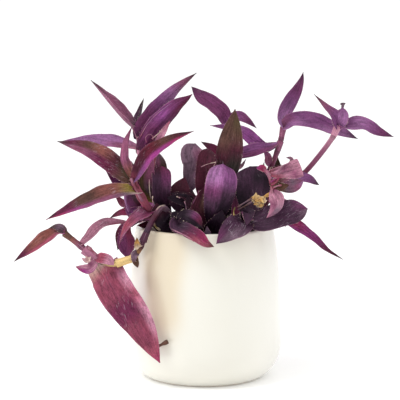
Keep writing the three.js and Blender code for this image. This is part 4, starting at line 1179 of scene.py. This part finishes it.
def turned(name, profile, sides):
    """A closed round body: a disc extruded and scaled from one ring of the profile to the next."""
    bpy.ops.object.select_all(action="DESELECT")
    radius, height = profile[0]
    bpy.ops.mesh.primitive_circle_add(
        vertices=sides, radius=radius, fill_type="NGON", location=(0, 0, height)
    )
    piece = bpy.context.object
    piece.name = name
    bpy.ops.object.mode_set(mode="EDIT")
    for (radius, height), (wide, high) in zip(profile, profile[1:]):
        bpy.ops.mesh.extrude_region_move(TRANSFORM_OT_translate={"value": (0, 0, high - height)})
        bpy.ops.transform.resize(value=(wide / radius, wide / radius, 1))
    bpy.ops.mesh.select_all(action="SELECT")
    bpy.ops.mesh.normals_make_consistent(inside=False)
    bpy.ops.object.mode_set(mode="OBJECT")
    bpy.ops.object.transform_apply(location=True, rotation=True, scale=True)
    return piece


def arc(center, radius, start, end, steps):
    """Points on an arc from one angle to another, in degrees."""
    angles = np.radians(np.linspace(start, end, steps + 1))
    return [(center[0] + radius * math.cos(a), center[1] + radius * math.sin(a)) for a in angles]


def outer_wall(pot):
    """Outer outline of the pot from its foot to its rim: a quarter of a superellipse, then the wall."""
    outline = []
    for turn in np.linspace(BASE_START, math.pi / 2, BASE_STEPS + 1):
        reach = math.sin(turn) ** (2 / pot.base_roundness)
        rise = 1 - max(math.cos(turn), 0) ** (2 / pot.base_roundness)
        outline.append((pot.foot_radius + (pot.radius - pot.foot_radius) * reach, pot.shoulder * rise))
    for share in np.linspace(0, 1, WALL_STEPS + 1)[1:]:
        lean = (pot.radius - pot.rim_radius) * share**3
        outline.append((pot.radius - lean, pot.shoulder + (pot.height - pot.lip - pot.shoulder) * share))
    return outline


def inner_wall(pot):
    """Inner outline from the rim down to the floor, one wall inside the outer one."""
    return [(r - pot.wall, z) for r, z in reversed(outer_wall(pot)) if z > pot.floor]


def hills(x, y):
    """Height of the soil's surface at a place in millimetres, from about -1.5 to 1.5."""
    return math.sin(x * 0.21 + 1) * math.cos(y * 0.17) + 0.5 * math.sin((x + y) * 0.45)


def color_prop(label, code, text):
    return bpy.props.FloatVectorProperty(
        name=label, description=text, default=linear(code), size=3, subtype="COLOR", min=0, max=1
    )


def size_prop(label, size, text):
    return bpy.props.FloatProperty(name=label, description=text, default=size, min=0, unit="LENGTH")


class PotSettings(bpy.types.PropertyGroup):
    """Sizes and colours of the pot."""

    height: size_prop("Height", POT_HIGH.z, "Height of the pot")
    radius: size_prop("Radius", POT_HIGH.x, "Radius at its widest")
    rim_radius: size_prop("Rim radius", 0.058, "Outer radius of the rim")
    foot_radius: size_prop("Foot radius", 0.045, "Radius of the foot")
    shoulder: size_prop("Shoulder", 0.029, "Height at which the rounded base meets the wall")
    base_roundness: bpy.props.FloatProperty(
        name="Base roundness", description="Exponent of the rounded base", default=1.85, min=1, max=4
    )
    wall: size_prop("Wall", 0.005, "Thickness of the wall")
    floor: size_prop("Floor", 0.007, "Thickness of the floor")
    lip: size_prop("Lip", 0.002, "Height of the rounding of the rim")
    glaze: color_prop("Glaze", "d6cab2", "Glaze where it is warmest")
    glaze_cloud: color_prop("Glaze cloud", "dddbd1", "Glaze where it is palest")
    # Painted light: the pale glaze that lightens the pot's right side
    glaze_painted_light: color_prop("Pale glaze", "f3f1ea", "Glaze where it is thick and pale")
    glaze_pool: color_prop("Glaze pool", "d6d2c6", "Glaze that gathered round the foot")
    clay: color_prop("Clay", "c9b594", "Bare clay of the foot ring and the pinholes")


class SoilSettings(bpy.types.PropertyGroup):
    """Sizes and colours of the soil."""

    level: size_prop("Level", 0.114, "Height of its surface")
    hill: size_prop("Hills", 0.0014, "Height of the hills in its surface")
    crumb: size_prop("Crumb", 0.0022, "Largest crumb")
    crumbs: bpy.props.IntProperty(
        name="Crumbs", description="How many crumbs lie on it", default=900, min=0
    )
    damp: color_prop("Damp", "1f1712", "Damp soil")
    dry: color_prop("Dry", "43342a", "Dry soil")
    fibre: color_prop("Fibre", "6e5640", "Bark and fibre")


class LeafSettings(bpy.types.PropertyGroup):
    """Sizes of the leaves and the colours of their marks."""

    thickness: size_prop("Thickness", 0.0009, "Thickness of a leaf beside its rib")
    hair_length: size_prop("Hair length", 0.0014, "Longest hair on a margin")
    hairs: bpy.props.IntProperty(name="Hairs", description="Hairs on each margin", default=26, min=0)
    seed: bpy.props.IntProperty(name="Seed", description="Seed of the random draws", default=7)
    blotch: color_prop("Blotch", "7a4a3c", "Warm blotches")
    rib: color_prop("Rib", "6a3058", "Middle rib")
    # Partly the pale edge's own colour, partly a painted rim highlight
    margin: color_prop("Margin", "b07a94", "Thin edge of a leaf")
    scratch: color_prop("Scratch", "cfc0cc", "Pale scratches")
    withered: color_prop("Withered", "4a382c", "Withered spots")


class TintSettings(bpy.types.PropertyGroup):
    """The tints that leaves and stems blend between."""

    __annotations__ = {
        name: color_prop(label, code, f"{label} of leaves and stems")
        for name, (label, code) in TINTS.items()
    }


class StageSettings(bpy.types.PropertyGroup):
    """Light and floor of the studio."""

    surround: bpy.props.FloatProperty(
        name="Surround", description="Strength of the even white light all round", default=1.07, min=0
    )
    key: bpy.props.FloatProperty(
        name="Key light", description="Power of the soft light high at the left front", default=7.1, min=0
    )
    side: bpy.props.FloatProperty(
        name="Side light", description="Power of the low light at the left", default=6.5, min=0
    )
    floor: color_prop("Floor", "fafafa", "Floor")


class PLANT_OT_pot(bpy.types.Operator):
    """Turns the pot: a rounded base, a leaning wall, a rounded rim and the hollow inside"""

    bl_idname = "plant.pot"
    bl_label = "Pot"

    def execute(self, context):
        pot = context.scene.plant_pot
        outer = outer_wall(pot)
        inner = inner_wall(pot)
        middle = (pot.rim_radius - pot.wall / 2, pot.height - pot.lip)
        round_rim = arc(middle, pot.wall / 2, 0, 180, RIM_STEPS)[1:-1]
        flatter = pot.lip / (pot.wall / 2)
        rim = [(r, middle[1] + (z - middle[1]) * flatter) for r, z in round_rim]
        begin, end = (pot.foot_radius - inside for inside in FOOT_RING)
        foot = [(begin - FOOT_BEVEL, RECESS), (begin, 0), (end, 0)]
        corner = inner[-1][0]
        floor = [(corner - inside, pot.floor + above) for inside, above in FLOOR_BEVEL]
        piece = turned("pot_glazed", [*foot, *outer, *rim, *inner, *floor], POT_SIDES)
        piece.data.materials.append(glaze_finish(pot))
        bpy.ops.object.shade_smooth_by_angle(angle=SMOOTH_ANGLE)
        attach(piece, "root")
        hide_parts("pot")
        return {"FINISHED"}


class PLANT_OT_soil(bpy.types.Operator):
    """Fills the pot with soil and strews crumbs over it"""

    bl_idname = "plant.soil"
    bl_label = "Soil"

    def execute(self, context):
        pot, soil = context.scene.plant_pot, context.scene.plant_soil
        inside = [(r - SOIL_GAP, z) for r, z in reversed(inner_wall(pot))]
        cut, low = SOIL_CORNER
        wall = [(r, z) for r, z in inside if pot.floor + low < z < soil.level]
        brim = wall[-1][0]
        rings = [(brim * share, soil.level) for share in np.linspace(*SOIL_SHARES, SOIL_RINGS)]
        bottom = (wall[0][0] - cut, pot.floor + SOIL_GAP)
        piece = turned("soil_top", [bottom, *wall, *rings], SOIL_SIDES)
        draw = random.Random(SOIL_SEED)
        for vertex in piece.data.vertices:
            if vertex.co.z > soil.level - LEVEL_SLACK:
                rise = hills(vertex.co.x / MM, vertex.co.y / MM)
                rise += draw.uniform(-SOIL_ROUGHNESS, SOIL_ROUGHNESS)
                vertex.co.z += soil.hill * rise
        finish = soil_finish(soil)
        piece.data.materials.append(finish)
        bpy.ops.object.shade_smooth_by_angle(angle=SMOOTH_ANGLE)
        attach(piece, "root")
        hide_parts("soil")
        self.strew(brim, soil, finish, draw)
        return {"FINISHED"}

    def strew(self, brim, soil, finish, draw):
        """Copies one crumb many times over the surface, each turned, stretched and sunk in."""
        bpy.ops.object.select_all(action="DESELECT")
        bpy.ops.mesh.primitive_ico_sphere_add(subdivisions=1, radius=0.5)
        crumb = bpy.context.object
        shape = np.array([v.co for v in crumb.data.vertices])
        faces = np.array([p.vertices for p in crumb.data.polygons])
        bpy.data.objects.remove(crumb)
        points, polygons = [], []
        for count in range(soil.crumbs):
            away = brim * CRUMB_REACH * math.sqrt(draw.random())
            turn = draw.uniform(0, 2 * math.pi)
            x, y = away * math.cos(turn), away * math.sin(turn)
            size = soil.crumb * draw.uniform(*CRUMB_SHARES) ** CRUMB_RARITY
            stretch = np.array([draw.uniform(*limits) for limits in CRUMB_STRETCHES])
            spin = np.linalg.qr(np.array([[draw.gauss(0, 1) for _ in range(3)] for _ in range(3)]))[0]
            spin *= np.sign(np.linalg.det(spin))
            rough = shape * np.array([[draw.uniform(*CRUMB_ROUGHNESS)] for _ in shape])
            height = soil.level + soil.hill * hills(x / MM, y / MM) + size * CRUMB_RISE
            center = np.array([x, y, height])
            points.append(rough * stretch * size @ spin.T + center)
            polygons.append(faces + count * len(shape))
        mesh = bpy.data.meshes.new("soil_crumbs")
        mesh.from_pydata(np.vstack(points).tolist(), [], np.vstack(polygons).tolist())
        settle("soil_crumbs", mesh, [finish], "soil")


class PLANT_OT_shoots(bpy.types.Operator):
    """Grows every shoot: a jointed stem with its sheaths, and its veined leaves with their hairs"""

    bl_idname = "plant.shoots"
    bl_label = "Shoots"

    def execute(self, context):
        leaves = context.scene.plant_leaves
        finishes = plant_finishes(leaves)
        for number, (name, spec) in enumerate(SHOOTS.items()):
            draw = random.Random(leaves.seed * SEED_STEP + number)
            foliage = Foliage()
            add_stem(foliage, spec)
            points = seen(spec["stem"])
            for habit in spec["leaves"]:
                add_leaf(foliage, habit, on_stem(points, habit["node"])[0], draw)
            settle(f"{name}_grown", foliage.mesh(name), finishes, name)
        return {"FINISHED"}


class PLANT_OT_dried_flower(bpy.types.Operator):
    """Crumples the withered flower: curled papery petals round a short stalk"""

    bl_idname = "plant.dried_flower"
    bl_label = "Dried flower"

    def execute(self, context):
        leaves = context.scene.plant_leaves
        draw = random.Random(leaves.seed * SEED_STEP + FLOWER_SEED)
        foliage = Foliage()
        center = np.array(FLOWER_CENTER, float)
        for count in range(FLOWER_PETALS):
            way = unit(np.array([draw.gauss(0, spread) for spread in PETAL_SPREAD]))
            bend = unit(way + np.array([draw.gauss(0, PETAL_CURL) for _ in range(3)]))
            reach = FLOWER_RADIUS * draw.uniform(*PETAL_SHARES)
            path = [center + way * reach * 0.45, center + way * reach * 0.6 + bend * reach * 0.4]
            tint = draw.choice(PETAL_TINTS)
            width = draw.uniform(*PETAL_WIDTHS)
            face = unit(np.cross(way, bend) + 1e-3)
            fold = draw.uniform(*PETAL_FOLDS)
            habit = leaf(0, path, width, face, tint, under=tint, fold=fold, belly=0.6,
                         blunt=3, ripple=1.1, dry=1, root=0.3)
            add_leaf(foliage, habit, seen([center - way * 1.5])[0], draw)
        tan = even(blended("tan", [0.0])[0])
        swell = lambda t: FLOWER_STALK_RADIUS * (1 + STALK_SWELL * np.sin(STALK_WAVES * t))
        rod(foliage, seen(FLOWER_STALK), swell, tan, STALK_WEAR, DRY, STALK_SIDES, STALK_STEPS)
        finishes = plant_finishes(leaves)
        settle("dried_flower_petals", foliage.mesh("dried_flower"), finishes, "dried_flower")
        return {"FINISHED"}


class PLANT_OT_stage(bpy.types.Operator):
    """Lays the pale floor, hangs the lights and sets up the camera"""

    bl_idname = "plant.stage"
    bl_label = "Studio"

    def execute(self, context):
        scene = context.scene
        stage = scene.plant_stage
        bpy.ops.object.select_all(action="DESELECT")
        bpy.ops.mesh.primitive_circle_add(
            vertices=FLOOR_SIDES, radius=FLOOR_RADIUS, fill_type="NGON"
        )
        floor = bpy.context.object
        floor.name = "studio_floor"
        finish = Finish("studio_floor")
        floor.data.materials.append(
            finish.set(
                Base_Color=plain(stage.floor),
                Roughness=0.9,
                Specular_IOR_Level=0.1,
                Emission_Color=plain(stage.floor),
                Emission_Strength=0.12,
            )
        )

        world = bpy.data.worlds.new("studio_light")
        world.use_nodes = True
        sky = world.node_tree.nodes["Background"]
        sky.inputs["Color"].default_value = (1, 1, 1, 1)
        sky.inputs["Strength"].default_value = stage.surround
        scene.world = world

        for title, power, size, place, gleams in LAMPS:
            light = bpy.data.lights.new(title, "AREA")
            light.energy = getattr(stage, power)
            light.size = size
            lamp = bpy.data.objects.new(title, light)
            lamp.visible_glossy = gleams
            scene.collection.objects.link(lamp)
            lamp.location = place
            aim = Vector(LAMP_AIM) - lamp.location
            lamp.rotation_euler = aim.to_track_quat("-Z", "Y").to_euler()

        rise = math.radians(CAMERA_RISE)
        camera = bpy.data.cameras.new("camera")
        camera.lens = LENS
        camera.sensor_width = SENSOR
        eye = bpy.data.objects.new("camera", camera)
        scene.collection.objects.link(eye)
        eye.location = (
            AIM[0],
            AIM[1] - CAMERA_DISTANCE * math.cos(rise),
            AIM[2] + CAMERA_DISTANCE * math.sin(rise),
        )
        eye.rotation_euler = (math.pi / 2 - rise, 0, 0)
        scene.camera = eye
        scene.view_settings.view_transform = "Standard"
        return {"FINISHED"}


class PLANT_PT_panel(bpy.types.Panel):
    """The plant's pieces in the sidebar"""

    bl_label = "Potted plant"
    bl_idname = "PLANT_PT_panel"
    bl_space_type = "VIEW_3D"
    bl_region_type = "UI"
    bl_category = "Plant"

    def draw(self, context):
        for operator in OPERATORS:
            self.layout.operator(operator.bl_idname)
        for group in GROUPS:
            settings = getattr(context.scene, group)
            box = self.layout.box()
            for name in settings.bl_rna.properties.keys():
                if name not in ("name", "rna_type"):
                    box.prop(settings, name)


OPERATORS = (PLANT_OT_stage, PLANT_OT_pot, PLANT_OT_soil, PLANT_OT_shoots, PLANT_OT_dried_flower)
GROUPS = {
    "plant_pot": PotSettings,
    "plant_soil": SoilSettings,
    "plant_leaves": LeafSettings,
    "plant_tints": TintSettings,
    "plant_stage": StageSettings,
}


def register():
    for part in (*GROUPS.values(), *OPERATORS, PLANT_PT_panel):
        bpy.utils.register_class(part)
    for name, group in GROUPS.items():
        setattr(bpy.types.Scene, name, bpy.props.PointerProperty(type=group))


def unregister():
    for name in GROUPS:
        delattr(bpy.types.Scene, name)
    for part in (PLANT_PT_panel, *reversed(OPERATORS), *GROUPS.values()):
        bpy.utils.unregister_class(part)


def main():
    register()
    bpy.ops.plant.stage()
    bpy.ops.plant.pot()
    bpy.ops.plant.soil()
    bpy.ops.plant.shoots()
    bpy.ops.plant.dried_flower()


if __name__ == "__main__":
    main()
